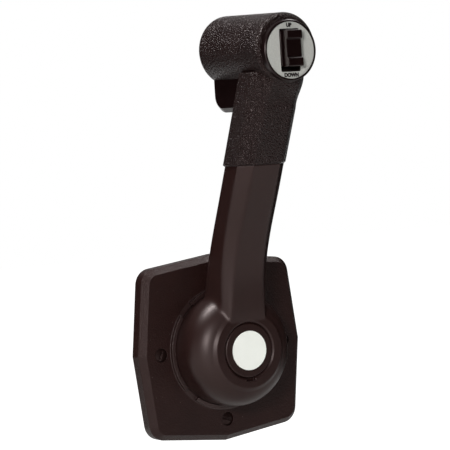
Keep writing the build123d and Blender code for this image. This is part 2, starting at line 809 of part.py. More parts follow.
with BuildPart() as switch_body:
    with BuildSketch(out_plane(switch_back_out)):
        with Locations((0, switch_z)):
            RectangleRounded(2 * (cutout_half_width + switch_body_wall),
                             2 * (cutout_half_height + switch_body_wall), cutout_round)
    extrude(amount=-switch_body_depth)
    with BuildSketch(out_plane(switch_back_out)):
        with Locations((0, switch_z)):
            RectangleRounded(2 * cutout_half_width, 2 * cutout_half_height, cutout_round)
    extrude(amount=-switch_well, mode=Mode.SUBTRACT)
    # Two cheeks stand in the well beside the rocker and carry its pin
    with BuildSketch(out_plane(switch_back_out - switch_well)):
        with Locations((0, rocker_z)):
            Rectangle(2 * cutout_half_width, 4 * rocker_pin_radius)
            Rectangle(2 * (rocker_half_width + loose_gap), 8 * rocker_pin_radius, mode=Mode.SUBTRACT)
    extrude(amount=rocker_pivot_out + 2 * rocker_pin_radius - switch_back_out + switch_well)
    with Locations(Plane(origin=(0, -rocker_pivot_out, rocker_z), z_dir=(1, 0, 0))):
        Hole(rocker_pin_radius)
    with BuildSketch(out_plane(switch_back_out - switch_body_depth)):
        with GridLocations(0, cutout_half_height / 2, 1, 3):
            with Locations((0, switch_z)):
                Rectangle(terminal_width, terminal_thickness)
    extrude(amount=-terminal_length)
save(switch_body, "switch_body")

with BuildPart() as rocker_pin:
    with BuildSketch(Plane(origin=(0, -rocker_pivot_out, rocker_z), z_dir=(1, 0, 0))):
        Circle(rocker_pin_radius)
    extrude(amount=cutout_half_width, both=True)
save(rocker_pin, "rocker_pin")

with BuildPart() as trim_rocker:
    with BuildSketch(Plane.YZ):
        with BuildLine():
            top = rocker_z + rocker_half_height
            low = rocker_z - rocker_half_height
            Polyline((-rocker_out, top - rocker_block), (-rocker_out, top),
                     (-rocker_pivot_out - rocker_back, top), (-rocker_pivot_out - rocker_back, low),
                     (-rocker_out, low), (-rocker_out, low + rocker_block),
                     (rocker_dip - rocker_out, low + rocker_block + rocker_ramp),
                     (rocker_dip - rocker_out, top - rocker_block - rocker_ramp),
                     (-rocker_out, top - rocker_block))
        make_face()
        with Locations((-rocker_pivot_out, rocker_z)):
            Circle(rocker_hub_radius)
    extrude(amount=rocker_half_width, both=True)
    fillet(trim_rocker.edges().filter_by(Axis.X).group_by(Axis.Y)[0], radius=rocker_round)
    with Locations(Plane(origin=(0, -rocker_pivot_out, rocker_z), z_dir=(1, 0, 0))):
        Hole(rocker_pin_radius + run_gap)
save(trim_rocker, "trim_rocker")

# Neutral-lock bar under the barrel, its rod down the arm, and the rod's guides and spring
with BuildPart() as lock_bar:
    front_low = -sleeve_back(bar_bottom_z) + bar_gap
    front_high = -sleeve_back(bar_top_z) + bar_gap
    with BuildSketch(Plane.YZ):
        with BuildLine():
            Polyline((-bar_far_out, bar_bottom_z + bar_corner), (-bar_far_out, bar_top_z),
                     (front_high, bar_top_z), (front_low, bar_bottom_z), (-bar_far_out - bar_corner, bar_bottom_z))
            RadiusArc((-bar_far_out - bar_corner, bar_bottom_z), (-bar_far_out, bar_bottom_z + bar_corner),
                      -bar_corner)
        make_face()
    extrude(amount=bar_half_width, both=True)
    side_edges = [e for e in lock_bar.edges()
                  if abs(abs(e.center().X) - bar_half_width) < same_size and e.center().Z < bar_bottom_z + bar_corner / 1.5]
    chamfer(side_edges, length=bar_chamfer)
    with BuildSketch(Plane.YZ):
        Polygon((front_low + bar_gap, bar_bottom_z), (front_low - bar_lug_reach, bar_bottom_z),
                (bar_gap - sleeve_back(lug_top_z) - bar_lug_reach, lug_top_z),
                (2 * bar_gap - sleeve_back(lug_top_z), lug_top_z), align=None)
    extrude(amount=bar_lug_half, both=True)
    with BuildSketch(rod_plane(rod_top_z)):
        Circle(rod_radius)
    extrude(amount=-2 * (rod_top_z - bar_bottom_z), mode=Mode.SUBTRACT)
save(lock_bar, "lock_bar")

with BuildPart() as lock_rod:
    with BuildSketch(rod_plane(rod_tip_z)):
        Circle(rod_radius)
    extrude(amount=(rod_top_z - rod_tip_z) / math.cos(math.radians(rod_lean)))
    with BuildSketch(rod_plane(rod_collar_z)):
        Circle(rod_collar_radius)
    extrude(amount=rod_collar_length)
save(lock_rod, "lock_rod")

channel_front = channel_half * math.cos(math.radians(rod_lean))
with BuildPart() as rod_guides:
    for height in (guide_low_z, guide_high_z):
        with BuildSketch(rod_plane(height)):
            with Locations((0, (guide_back - channel_front) / 2)):
                Rectangle(2 * channel_half, channel_front + guide_back)
            Circle(rod_radius + run_gap, mode=Mode.SUBTRACT)
        extrude(amount=guide_length)
save(rod_guides, "rod_guides")

# Coil springs are drawn as sleeves as thick as their wire
lock_spring_length = (guide_high_z - rod_collar_z) / math.cos(math.radians(rod_lean)) - rod_collar_length
with BuildPart() as lock_spring:
    with BuildSketch(rod_plane(rod_collar_z).offset(rod_collar_length)):
        draw_ring(lock_spring_radius + lock_spring_wire, lock_spring_radius - lock_spring_wire)
    extrude(amount=lock_spring_length)
save(lock_spring, "lock_spring")

# Main shaft: flanged on the hub's floor, bored for the push rod, with flats for the crank
shaft_flats_behind = cover_behind + outer_bush_flange + loose_gap
with BuildPart() as main_shaft:
    with BuildSketch(out_plane(well_floor_out)):
        Circle(shaft_head_radius)
    extrude(amount=shaft_head_height)
    with BuildSketch(out_plane(well_floor_out)):
        Circle(shaft_radius)
    extrude(amount=-(well_floor_out + shaft_flats_behind))
    with BuildSketch(out_plane(-shaft_flats_behind)):
        add(flatted_round(shaft_radius, shaft_flat))
    extrude(amount=-(crank_back - shaft_flats_behind))
    with BuildSketch(out_plane(-crank_back)):
        Circle(shaft_end_radius)
    extrude(amount=-(shaft_back - crank_back))
    with BuildSketch(out_plane(well_floor_out + shaft_head_height)):
        Circle(shaft_bore)
    extrude(amount=-(well_floor_out + shaft_head_height + shaft_bore_end), mode=Mode.SUBTRACT)
    with BuildSketch(out_plane(well_floor_out + shaft_head_height)):
        draw_ring(button_spring_radius + button_spring_seat_half, button_spring_radius - button_spring_seat_half)
    extrude(amount=-button_spring_seat, mode=Mode.SUBTRACT)
    with BuildSketch(out_plane(-clutch_slot_front)):
        Rectangle(4 * shaft_radius, 2 * (clutch_pin_radius + run_gap))
    extrude(amount=-(clutch_slot_back - clutch_slot_front), mode=Mode.SUBTRACT)
    with BuildSketch(out_plane(well_floor_out)):
        with PolarLocations(hub_screw_circle, hub_screws):
            Circle(hub_screw_radius)
    extrude(amount=shaft_head_height, mode=Mode.SUBTRACT)
save(main_shaft, "main_shaft")

with BuildPart() as shaft_screws:
    with BuildSketch(out_plane(well_floor_out + shaft_head_height)):
        with PolarLocations(hub_screw_circle, hub_screws):
            Circle(hub_screw_radius)
    extrude(amount=-hub_screw_length)
save(shaft_screws, "shaft_screws")

# Throttle-only button: a skirted cap and its badge, with the push rod and pin that work the clutch
button_front_out = pad_out - button_recess
button_inner_out = button_front_out - button_thickness
with BuildPart() as throttle_only_button:
    with BuildSketch(out_plane(button_inner_out)):
        Circle(button_radius)
    extrude(amount=button_thickness)
    with BuildSketch(out_plane(button_inner_out)):
        draw_ring(button_radius, button_radius - button_skirt)
    extrude(amount=-button_skirt_length)
    with BuildSketch(out_plane(button_inner_out)):
        Circle(push_rod_radius)
    extrude(amount=button_socket, mode=Mode.SUBTRACT)
    chamfer(throttle_only_button.edges().group_by(Axis.Y)[0], length=button_chamfer)
save(throttle_only_button, "throttle_only_button")

with BuildPart() as hub_badge:
    with BuildSketch(out_plane(button_front_out)):
        Circle(badge_radius)
    extrude(amount=badge_thickness)
save(hub_badge, "hub_badge")

with BuildPart() as push_rod:
    with BuildSketch(out_plane(button_inner_out + button_socket)):
        Circle(push_rod_radius)
    extrude(amount=-(button_inner_out + button_socket + push_rod_back))
    with BuildSketch(Plane.YZ):
        with Locations((clutch_pin_behind, 0)):
            Circle(clutch_pin_radius)
    extrude(amount=shaft_radius, both=True, mode=Mode.SUBTRACT)
save(push_rod, "push_rod")

with BuildPart() as clutch_pin:
    with BuildSketch(Plane.YZ):
        with Locations((clutch_pin_behind, 0)):
            Circle(clutch_pin_radius)
    extrude(amount=clutch_pin_half, both=True)
save(clutch_pin, "clutch_pin")

button_spring_out = well_floor_out + shaft_head_height - button_spring_seat
with BuildPart() as button_spring:
    with BuildSketch(out_plane(button_spring_out)):
        draw_ring(button_spring_radius + button_spring_wire, button_spring_radius - button_spring_wire)
    extrude(amount=button_inner_out - button_spring_out)
save(button_spring, "button_spring")

# Detent cam on the shaft, with a notch for neutral and one for each gear, and the spring that drops into them
nose_radius_place = cam_radius + detent_nose - detent_drop
with BuildPart() as detent_cam:
    with BuildSketch(out_plane(-cam_behind)):
        Circle(cam_radius)
        Circle(shaft_radius, mode=Mode.SUBTRACT)
        for angle in (90 - detent_angle, 90, 90 + detent_angle):
            with PolarLocations(nose_radius_place, 1, start_angle=angle):
                Circle(detent_radius, mode=Mode.SUBTRACT)
    extrude(amount=-cam_thickness)
    with BuildSketch(out_plane(-cam_back)):
        draw_ring(cam_hub_radius, shaft_radius)
    extrude(amount=-cam_hub_length)
save(detent_cam, "detent_cam")

strip_z = nose_radius_place + detent_nose
eye_radius = detent_post_radius + detent_eye_wall
with BuildPart() as detent_spring:
    with BuildSketch(out_plane(-cam_behind)):
        with Locations((detent_post_x, detent_post_z)):
            Circle(eye_radius)
        with BuildLine():
            Polyline((detent_post_x, detent_post_z + eye_radius), (detent_post_x / 2, strip_z + detent_strip),
                     (detent_nose, strip_z), (detent_nose, strip_z - detent_strip),
                     (detent_post_x / 2, strip_z), (detent_post_x, detent_post_z + eye_radius - detent_strip),
                     close=True)
        make_face()
        with Locations((0, nose_radius_place)):
            Circle(detent_nose)
        with Locations((detent_post_x, detent_post_z)):
            Circle(detent_post_radius + run_gap, mode=Mode.SUBTRACT)
    extrude(amount=-(cam_thickness - loose_gap))
save(detent_spring, "detent_spring")


# Gear pair between lever and shift shaft, with involute teeth
def root_radius(teeth):
    return gear_module * (teeth / 2 - tooth_root)


def gear_tooth(teeth):
    """One involute tooth that points along +X, with its foot sunk in the root circle, as a sketch."""
    pitch_radius = gear_module * teeth / 2
    base_radius = pitch_radius * math.cos(math.radians(pressure_angle))
    tip_radius = pitch_radius + gear_module * tooth_top
    start_radius = max(base_radius, root_radius(teeth))
    half_angle = (math.pi * gear_module / 2 - tooth_backlash) / (2 * pitch_radius)

    def involute(radius):
        turn = math.acos(base_radius / radius)
        return math.tan(turn) - turn

    def flank_point(share):
        radius = start_radius + share * (tip_radius - start_radius)
        angle = half_angle + involute(pitch_radius) - involute(radius)
        return (radius * math.cos(angle), radius * math.sin(angle))

    upper = [flank_point(share) for share in (0, 1 / 3, 2 / 3, 1)]
    lower = [(x, -y) for x, y in reversed(upper)]
    foot_x = root_radius(teeth) - gear_module / 2
    foot_y = foot_x * upper[0][1] / upper[0][0]
    with BuildSketch() as tooth:
        with BuildLine():
            Polyline(lower[-1], (foot_x, -foot_y), (foot_x, foot_y), upper[0])
            Spline(*upper)
            ThreePointArc(upper[-1], (tip_radius, 0), lower[0])
            Spline(*lower)
        make_face()
    return tooth.sketch


pinion_tooth = gear_tooth(gear_teeth)
with BuildPart() as drive_gear:
    with BuildSketch(out_plane(-gear_behind)):
        Circle(root_radius(gear_teeth))
        with PolarLocations(0, gear_teeth, start_angle=-90):
            add(pinion_tooth)
        Circle(shaft_radius, mode=Mode.SUBTRACT)
    extrude(amount=-gear_width)
    with BuildSketch(out_plane(-gear_boss_behind)):
        draw_ring(gear_boss_radius, shaft_radius)
    extrude(amount=-gear_boss_length)
    with BuildSketch(out_plane(-gear_back_behind)):
        Rectangle(4 * gear_boss_radius, 2 * (clutch_pin_radius + loose_gap))
    extrude(amount=clutch_slot_depth, mode=Mode.SUBTRACT)
save(drive_gear, "drive_gear")

sector_tooth = gear_tooth(sector_teeth)
tooth_step = 360 / sector_teeth
sector_half_angle = tooth_step * sector_drawn_teeth / 2
with BuildPart() as shift_sector:
    with BuildSketch(shift_plane(gear_behind + loose_gap)):
        with BuildLine():
            arc_radius = root_radius(sector_teeth)
            arc = CenterArc((0, 0), arc_radius, 90 - sector_half_angle, 2 * sector_half_angle)
            Polyline(arc @ 1, (0, 0), arc @ 0)
        make_face()
        Circle(sector_hub_radius)
        for tooth in range(sector_drawn_teeth):
            with PolarLocations(0, 1, start_angle=90 - sector_half_angle + tooth_step * (tooth + 0.5)):
                add(sector_tooth)
    extrude(amount=-(gear_width - 2 * loose_gap))
    with BuildSketch(shift_plane(cam_behind)):
        Circle(sector_hub_radius)
    extrude(amount=-(sector_hub_back - cam_behind))
    with BuildSketch(shift_plane(cam_behind)):
        Circle(shift_shaft_radius)
    extrude(amount=-(sector_hub_back - cam_behind), mode=Mode.SUBTRACT)
save(shift_sector, "shift_sector")

# Shift shaft with its arm at the back, held on by a clip
clip_back = shift_arm_back + clip_thickness
shift_shaft_back = clip_back + clip_thickness
with BuildPart() as shift_shaft:
    with BuildSketch(shift_plane(-shift_shaft_bite)):
        Circle(shift_shaft_radius)
    extrude(amount=-(shift_shaft_bite + arm_hub_behind))
    with BuildSketch(shift_plane(arm_hub_behind)):
        add(flatted_round(shift_shaft_radius, shift_flat))
    extrude(amount=-(shift_arm_back - arm_hub_behind))
    with BuildSketch(shift_plane(shift_arm_back)):
        Circle(clip_groove_radius)
    extrude(amount=-clip_thickness)
    with BuildSketch(shift_plane(clip_back)):
        add(flatted_round(shift_shaft_radius, shift_flat))
    extrude(amount=-clip_thickness)
save(shift_shaft, "shift_shaft")

with BuildPart() as shift_arm:
    with BuildSketch(shift_plane(shift_arm_behind)):
        Circle(sector_hub_radius + wide_gap)
        with Locations((0, -shift_arm_length)):
            Circle(arm_end_radius)
        make_hull()
    extrude(amount=-shift_arm_thickness)
    with BuildSketch(shift_plane(arm_hub_behind)):
        Circle(sector_hub_radius + wide_gap)
    extrude(amount=-shift_arm_step)
    with BuildSketch(shift_plane(arm_hub_behind)):
        add(flatted_round(shift_shaft_radius, shift_flat))
        with Locations((0, -shift_arm_length)):
            Circle(rivet_radius)
    extrude(amount=-(shift_arm_back - arm_hub_behind), mode=Mode.SUBTRACT)
save(shift_arm, "shift_arm")

with BuildPart() as shift_pin:
    with BuildSketch(shift_plane(shift_arm_behind)):
        with Locations((0, -shift_arm_length)):
            Circle(rivet_radius)
    extrude(amount=-shift_arm_thickness)
    with BuildSketch(shift_plane(shift_arm_back)):
        with Locations((0, -shift_arm_length)):
            Circle(cable_pin_radius)
    extrude(amount=-cable_pin_length)
save(shift_pin, "shift_pin")

with BuildPart() as shift_clip:
    with BuildSketch(shift_plane(shift_arm_back)):
        Circle(clip_radius)
        Circle(clip_groove_radius, mode=Mode.SUBTRACT)
        with Locations((0, clip_radius)):
            Rectangle(clip_mouth, 2 * clip_radius, mode=Mode.SUBTRACT)
    extrude(amount=-clip_thickness)
save(shift_clip, "shift_clip")

# Gear case behind the plate, its cover, bushes and screws
case_screw_turns = [math.tau * (screw + 0.5) / case_screw_count for screw in range(case_screw_count)]
case_screw_spots = [(case_boss_circle * math.cos(turn), case_boss_circle * math.sin(turn)) for turn in case_screw_turns]
with BuildPart() as rear_case:
    with BuildSketch(out_plane(0)):
        draw_ring(case_radius, case_inner)
        with Locations(*case_screw_spots):
            Circle(case_boss_radius)
        Circle(case_radius, mode=Mode.INTERSECT)
        with Locations(*case_screw_spots):
            Circle(case_screw_radius, mode=Mode.SUBTRACT)
    extrude(amount=-case_depth)
save(rear_case, "rear_case")

with BuildPart() as rear_cover:
    with BuildSketch(out_plane(-case_depth)):
        Circle(case_radius)
    extrude(amount=-cover_thickness)
    chamfer(rear_cover.edges().group_by(Axis.Y)[-1], length=wide_gap)
    with BuildSketch(out_plane(-gear_back_behind - loose_gap)):
        Circle(cover_thrust_outer)
    extrude(amount=-(case_depth - gear_back_behind - loose_gap))
    with BuildSketch(out_plane(-gear_back_behind - loose_gap)):
        Circle(cover_thrust_inner)
    extrude(amount=-(case_depth - gear_back_behind - loose_gap), mode=Mode.SUBTRACT)
    with BuildSketch(out_plane(-case_depth)):
        Circle(bush_outer)
        with Locations((0, shift_z)):
            Circle(shift_bush_outer)
        with Locations((grommet_x, grommet_z)):
            Circle(grommet_radius)
        with Locations(*case_screw_spots):
            Circle(case_screw_radius)
    extrude(amount=-cover_thickness, mode=Mode.SUBTRACT)
save(rear_cover, "rear_cover")


def make_outer_bush(plane, bore, outer):
    """Flanged bush in the cover, from a little inside it to its flange on the cover's back."""
    with BuildPart() as bush:
        with BuildSketch(plane):
            draw_ring(outer, bore)
        extrude(amount=-(bush_stand_out + cover_thickness))
        with BuildSketch(plane.offset(-bush_stand_out - cover_thickness)):
            draw_ring(outer + outer_bush_lip, bore)
        extrude(amount=-outer_bush_flange)
    return bush


rear_bush = make_outer_bush(out_plane(bush_stand_out - case_depth), shaft_radius + run_gap, bush_outer)
save(rear_bush, "rear_bush")
shift_bush = make_outer_bush(shift_plane(case_depth - bush_stand_out), shift_shaft_radius + run_gap, shift_bush_outer)
save(shift_bush, "shift_bush")

with BuildPart() as wire_grommet:
    with BuildSketch(out_plane(grommet_lip - case_depth)):
        with Locations((grommet_x, grommet_z)):
            Circle(grommet_radius)
    extrude(amount=-(cover_thickness + 2 * grommet_lip))
    for behind in (case_depth - grommet_lip, cover_behind):
        with BuildSketch(out_plane(-behind)):
            with Locations((grommet_x, grommet_z)):
                Circle(grommet_radius + grommet_lip)
        extrude(amount=-grommet_lip)
    with BuildSketch(out_plane(grommet_lip - case_depth)):
        with Locations((grommet_x, grommet_z)):
            Circle(grommet_bore)
    extrude(amount=-(cover_thickness + 2 * grommet_lip), mode=Mode.SUBTRACT)
save(wire_grommet, "wire_grommet")

with BuildPart() as case_screws:
    for spot in case_screw_spots:
        seat_behind = cover_behind + (bracket_thickness if spot[0] > 0 else 0)
        with BuildSketch(out_plane(case_screw_bite)):
            with Locations(spot):
                Circle(case_screw_radius)
        extrude(amount=-(case_screw_bite + seat_behind))
        with BuildSketch(out_plane(-seat_behind)):
            with Locations(spot):
                RegularPolygon(case_screw_head_radius, 6)
        extrude(amount=-case_screw_head_height)
save(case_screws, "case_screws")

# Throttle crank on the shaft's flats, its pin and the nut that holds it
with BuildPart() as throttle_crank:
    with BuildSketch(out_plane(-crank_behind)):
        Circle(cam_hub_radius)
        with Locations((crank_length, 0)):
            Circle(arm_end_radius)
        make_hull()
    extrude(amount=-crank_thickness)
    with BuildSketch(out_plane(-crank_front_behind)):
        Circle(cam_hub_radius)
    extrude(amount=-(crank_behind - crank_front_behind))
    with BuildSketch(out_plane(-crank_front_behind)):
        add(flatted_round(shaft_radius, shaft_flat))
        with Locations((crank_length, 0)):
            Circle(rivet_radius)
    extrude(amount=-(crank_back - crank_front_behind), mode=Mode.SUBTRACT)
save(throttle_crank, "throttle_crank")

with BuildPart() as throttle_pin:
    with BuildSketch(out_plane(-crank_behind)):
        with Locations((crank_length, 0)):
            Circle(rivet_radius)
    extrude(amount=-crank_thickness)
    with BuildSketch(out_plane(-crank_back)):
        with Locations((crank_length, 0)):
            Circle(cable_pin_radius)
    extrude(amount=-cable_pin_length)
save(throttle_pin, "throttle_pin")

with BuildPart() as crank_nut:
    with BuildSketch(out_plane(-crank_back)):
        RegularPolygon(nut_radius, 6)
        Circle(shaft_end_radius, mode=Mode.SUBTRACT)
    extrude(amount=-nut_height)
    chamfer(crank_nut.edges().group_by(Axis.Y)[-1].filter_by(GeomType.LINE), length=nut_chamfer)
save(crank_nut, "crank_nut")

# Bent bracket that anchors the two cable casings beside the case
shift_cable_z = shift_z - shift_arm_length
cable_anchors = [(throttle_cable_behind, 0), (shift_cable_behind, shift_cable_z)]
with BuildPart() as cable_bracket:
    with BuildSketch(out_plane(-cover_behind)):
        Polygon((bracket_inner_x, -bracket_shoulder), (bracket_inner_x, bracket_shoulder),
                (bracket_shoulder, bracket_shoulder), (bracket_reach + bracket_thickness, bracket_top_z),
                (bracket_reach + bracket_thickness, bracket_low_z), (bracket_foot_x, bracket_low_z),
                align=None)
    extrude(amount=-bracket_thickness)
    with BuildSketch(Plane.YZ.offset(bracket_reach)):
        with Locations((cover_behind, bracket_top_z)):
            Rectangle(bracket_depth, bracket_top_z - bracket_low_z, align=(Align.MIN, Align.MAX))
    extrude(amount=bracket_thickness)
    fillet(cable_bracket.edges().filter_by(Axis.X).group_by(Axis.Y)[-1], radius=bracket_round)
    fillet(cable_bracket.edges().filter_by(Axis.Z).group_by(Axis.Y)[0].sort_by(Axis.X)[-1], radius=bracket_thickness)
    with BuildSketch(Plane.YZ.offset(bracket_reach + (bracket_thickness - cable_boss_length) / 2)):
        with Locations(*cable_anchors):
            Circle(cable_boss_radius)
    extrude(amount=cable_boss_length)
    with BuildSketch(Plane.YZ.offset(bracket_reach + (bracket_thickness - cable_boss_length) / 2)):
        with Locations(*cable_anchors):
            Circle(cable_bore_radius)
    extrude(amount=cable_boss_length, mode=Mode.SUBTRACT)
    with BuildSketch(out_plane(-cover_behind)):
        with Locations(*[spot for spot in case_screw_spots if spot[0] > 0]):
            Circle(case_screw_radius)
    extrude(amount=-bracket_thickness, mode=Mode.SUBTRACT)
save(cable_bracket, "cable_bracket")
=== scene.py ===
"""Boat control lever: finishes, lettering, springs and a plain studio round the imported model."""

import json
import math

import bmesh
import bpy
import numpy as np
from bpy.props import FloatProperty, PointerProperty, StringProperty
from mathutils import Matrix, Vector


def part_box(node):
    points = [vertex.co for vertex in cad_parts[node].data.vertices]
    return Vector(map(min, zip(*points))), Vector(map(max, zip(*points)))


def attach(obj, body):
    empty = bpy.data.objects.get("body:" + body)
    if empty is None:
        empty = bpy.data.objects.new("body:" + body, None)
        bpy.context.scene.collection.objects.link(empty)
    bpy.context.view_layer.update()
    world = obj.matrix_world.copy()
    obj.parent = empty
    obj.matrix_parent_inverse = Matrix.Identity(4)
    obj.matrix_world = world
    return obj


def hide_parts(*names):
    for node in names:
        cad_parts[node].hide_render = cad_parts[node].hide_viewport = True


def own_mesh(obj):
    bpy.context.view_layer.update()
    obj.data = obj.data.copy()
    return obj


bl_info = {
    "name": "Boat control lever",
    "version": (1, 0, 0),
    "blender": (4, 5, 0),
    "location": "View3D > Sidebar > Boat control",
    "description": "Dresses the side-mount engine control and sets up its studio",
    "category": "Object",
}

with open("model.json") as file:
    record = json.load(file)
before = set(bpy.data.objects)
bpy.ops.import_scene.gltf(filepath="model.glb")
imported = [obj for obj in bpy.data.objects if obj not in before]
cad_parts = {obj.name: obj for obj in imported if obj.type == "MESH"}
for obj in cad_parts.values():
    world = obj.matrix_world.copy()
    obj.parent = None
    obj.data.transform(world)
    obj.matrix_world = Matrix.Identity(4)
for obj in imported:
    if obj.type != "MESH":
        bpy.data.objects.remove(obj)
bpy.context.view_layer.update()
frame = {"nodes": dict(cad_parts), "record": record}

MM = 0.001
# The studio's warm surroundings tint the gloss of the black parts
WARM_GLOSS = (1.0, 0.84, 0.82, 1.0)
SWITCH_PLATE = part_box("switch_plate")
PLATE_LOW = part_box("mounting_plate")[0][2]
SCREW_HEAD_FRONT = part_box("panel_screws")[0][1]
GRIP_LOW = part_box("grip_shell")[0][2]
# Rays that a rounded edge is averaged over
EDGE_SAMPLES = 12
# Outside of the raised ring round the bell, and the width over which its gloss ends
RING_OUTER = 44.6 * MM
RING_FADE = 0.8 * MM
# Heights between which the arm's edges change from fine to well rounded, above the hub and below the grip
HUB_TO_ARM = (18 * MM, 34 * MM)
ARM_TO_GRIP = (GRIP_LOW - 14 * MM, GRIP_LOW - 5 * MM)
# Height of a capital as a share of the type's size
CAPITAL_SHARE = 0.73
# The point that the camera looks at, and the one that the lamps and cards face
LOOKED_AT = Vector((15.786, 0, 87.668)) * MM
LIT_POINT = Vector((0, -40, 90)) * MM
BODIES = frame["record"]["behaviour"]["bodies"]
BODY_OF = {node: body for body, nodes in BODIES.items() for node in nodes}


def length(name, what, millimetres, precision=5):
    return FloatProperty(name=name, description=what, default=millimetres * MM, unit="LENGTH",
                         precision=precision)


def turned(name, what, radians):
    return FloatProperty(name=name, description=what, default=radians, unit="ROTATION")


class ControlSizes(bpy.types.PropertyGroup):
    """Sizes that a user would change."""
    letter_height: length("Letter height", "Cap height of the words by the rocker", 2.5)
    letter_thickness: length("Ink thickness", "How far the printed words stand proud", 0.06, 6)
    letter_boldness: length("Boldness", "How far the strokes of the words are thickened", 0.29)
    word_place: length("Place of the words", "Middle of a word above or below the plate's centre", 16.9)
    grip_pebble: length("Grip pebble", "Mean width of one pebble of the grip's texture", 1.0)
    plate_grain: length("Plate grain", "Mean width of a grain in the moulded plate", 0.55)
    dust_spacing: length("Dust spacing", "Mean distance between specks of dust on the plate", 5.0)
    plate_edge: length("Plate edge", "Radius of the plate's moulded edges", 0.6)
    hub_edge: length("Hub edge", "Radius of the arm's edges round its hub and at its shoulder", 1.2)
    arm_edge: length("Arm edge", "Radius of the edges along the arm", 5.5)
    button_edge: length("Button edge", "Radius of the button's edges", 0.9)
    rail_place: length("Rail place", "Distance of a switch rail from the rocker's middle", 7.1)
    rail_width: length("Rail width", "Width of a switch rail", 1.5)
    rail_length: length("Rail length", "Height of a switch rail", 24.0)
    rod_lean: turned("Rod lean", "Lean of the lock rod from upright", math.atan(0.381))
    lock_spring_wire: length("Lock spring wire", "Radius of the lock spring's wire", 0.35)
    button_spring_wire: length("Button spring wire", "Radius of the button spring's wire", 0.45)
    lock_travel: length("Lock travel", "How far the lock rod lifts", 6.5)
    button_travel: length("Button travel", "How far the button goes in", 4.0)
    screw_circle: length("Screw circle", "Distance of the plate's screws from the pivot", 52.0)
    screw_head_radius: length("Screw head radius", "Radius of the plate screws' heads", 4.5)
    screw_dome: length("Screw dome", "Rise of a screw head's dome", 0.8)
    screw_slot_width: length("Slot width", "Width of a screw head's slot", 1.1)
    screw_slot_depth: length("Slot depth", "Depth of a screw head's slot", 0.7)
    camera_azimuth: turned("Camera azimuth", "Camera direction round the object", math.radians(-31.85))
    camera_elevation: turned("Camera elevation", "Camera height as an angle", math.radians(2.945))
    camera_roll: turned("Camera roll", "Turn of the camera about its own axis", math.radians(-3.518))
    camera_distance: length("Camera distance", "From the point looked at", 1583.5)
    camera_lens: FloatProperty(name="Lens", description="Focal length on a 36 mm sensor", default=173.15,
                               unit="CAMERA")


def colour(name, what, value):
    return StringProperty(name=name, description=what + ", as an sRGB hex value", default=value)


class ControlColours(bpy.types.PropertyGroup):
    """Colours as sRGB hex values."""
    plate: colour("Plate", "Moulded plate", "#1D0D0B")
    arm: colour("Arm", "Painted arm", "#1E0E0C")
    grip: colour("Grip", "Moulded grip", "#160A09")
    gloss: colour("Smooth parts", "Smooth black parts", "#100606")
    silver: colour("Switch plate", "Satin switch plate", "#CDCDC7")
    badge: colour("Badge", "Plain badge", "#F3F5EE")
    steel: colour("Steel", "Zinc plated steel", "#B4B2AC")
    black_steel: colour("Black steel", "Blacked screws", "#241614")
    cast: colour("Cast case", "Cast aluminium", "#A5A6A6")
    polymer: colour("Bushes", "Bearing plastic", "#D2CCBB")
    rubber: colour("Seal", "Seal rubber", "#161616")
    dust: colour("Dust", "Specks of dust on the plate", "#9A8F88")
    floor: colour("Floor", "Studio floor", "#CFCFCD")
    card: colour("Card", "Black cards beside the object", "#0D0D0D")


def sizes():
    return bpy.context.scene.control_sizes


def colours():
    return bpy.context.scene.control_colours


def linear(value):
    """An sRGB hex value as linear colour with alpha 1."""
    parts = [int(value[i:i + 2], 16) / 255 for i in (1, 3, 5)]
    return [p / 12.92 if p <= 0.04045 else ((p + 0.055) / 1.055) ** 2.4 for p in parts] + [1.0]


def add_node(tree, kind, settings=None, inputs=None, links=None):
    """Adds one node with its settings, input values and links, given as {input: (node, output)}."""
    node = tree.nodes.new(kind)
    for name, value in (settings or {}).items():
        setattr(node, name, value)
    for name, value in (inputs or {}).items():
        node.inputs[name].default_value = value
    for name, (source, output) in (links or {}).items():
        tree.links.new(source.outputs[output], node.inputs[name])
    return node


def new_material(name):
    material = bpy.data.materials.new(name)
    material.use_nodes = True
    tree = material.node_tree
    tree.nodes.clear()
    coordinates = add_node(tree, "ShaderNodeTexCoord")
    return material, tree, coordinates


def finish_material(tree, values, base, rough=None, bump=None, gloss=None):
    """Adds the surface shader with its plain values, its colour and what else is given, and the output."""
    links = {"Base Color": (base, "Color")}
    if rough:
        links["Roughness"] = (rough, "Result")
    if bump:
        links["Normal"] = (bump, "Normal")
    if gloss:
        links["Specular IOR Level"] = (gloss, "Result")
    shader = add_node(tree, "ShaderNodeBsdfPrincipled", inputs=values, links=links)
    add_node(tree, "ShaderNodeOutputMaterial", links={"Surface": (shader, "BSDF")})


def mottled(tree, coordinates, value, scale, low, high, detail=4.0, roughness=0.55, ends=(0.3, 0.7)):
    """Colour that drifts between two shades of one value over patches of 1 / scale metres."""
    patches = add_node(tree, "ShaderNodeTexNoise",
                       inputs={"Scale": scale, "Detail": detail, "Roughness": roughness},
                       links={"Vector": (coordinates, "Object")})
    ramp = add_node(tree, "ShaderNodeValToRGB", links={"Fac": (patches, "Fac")})
    base = linear(value)
    for element, position, share in zip(ramp.color_ramp.elements, ends, (low, high)):
        element.position = position
        element.color = [min(1.0, c * share) for c in base[:3]] + [1.0]
    return ramp


def varied_roughness(tree, coordinates, scale, low, high):
    """Roughness that drifts between two values, as handling and moulding leave it."""
    patches = add_node(tree, "ShaderNodeTexNoise", inputs={"Scale": scale, "Detail": 5.0, "Roughness": 0.6},
                       links={"Vector": (coordinates, "Object")})
    return add_node(tree, "ShaderNodeMapRange", inputs={"To Min": low, "To Max": high},
                    links={"Value": (patches, "Fac")})


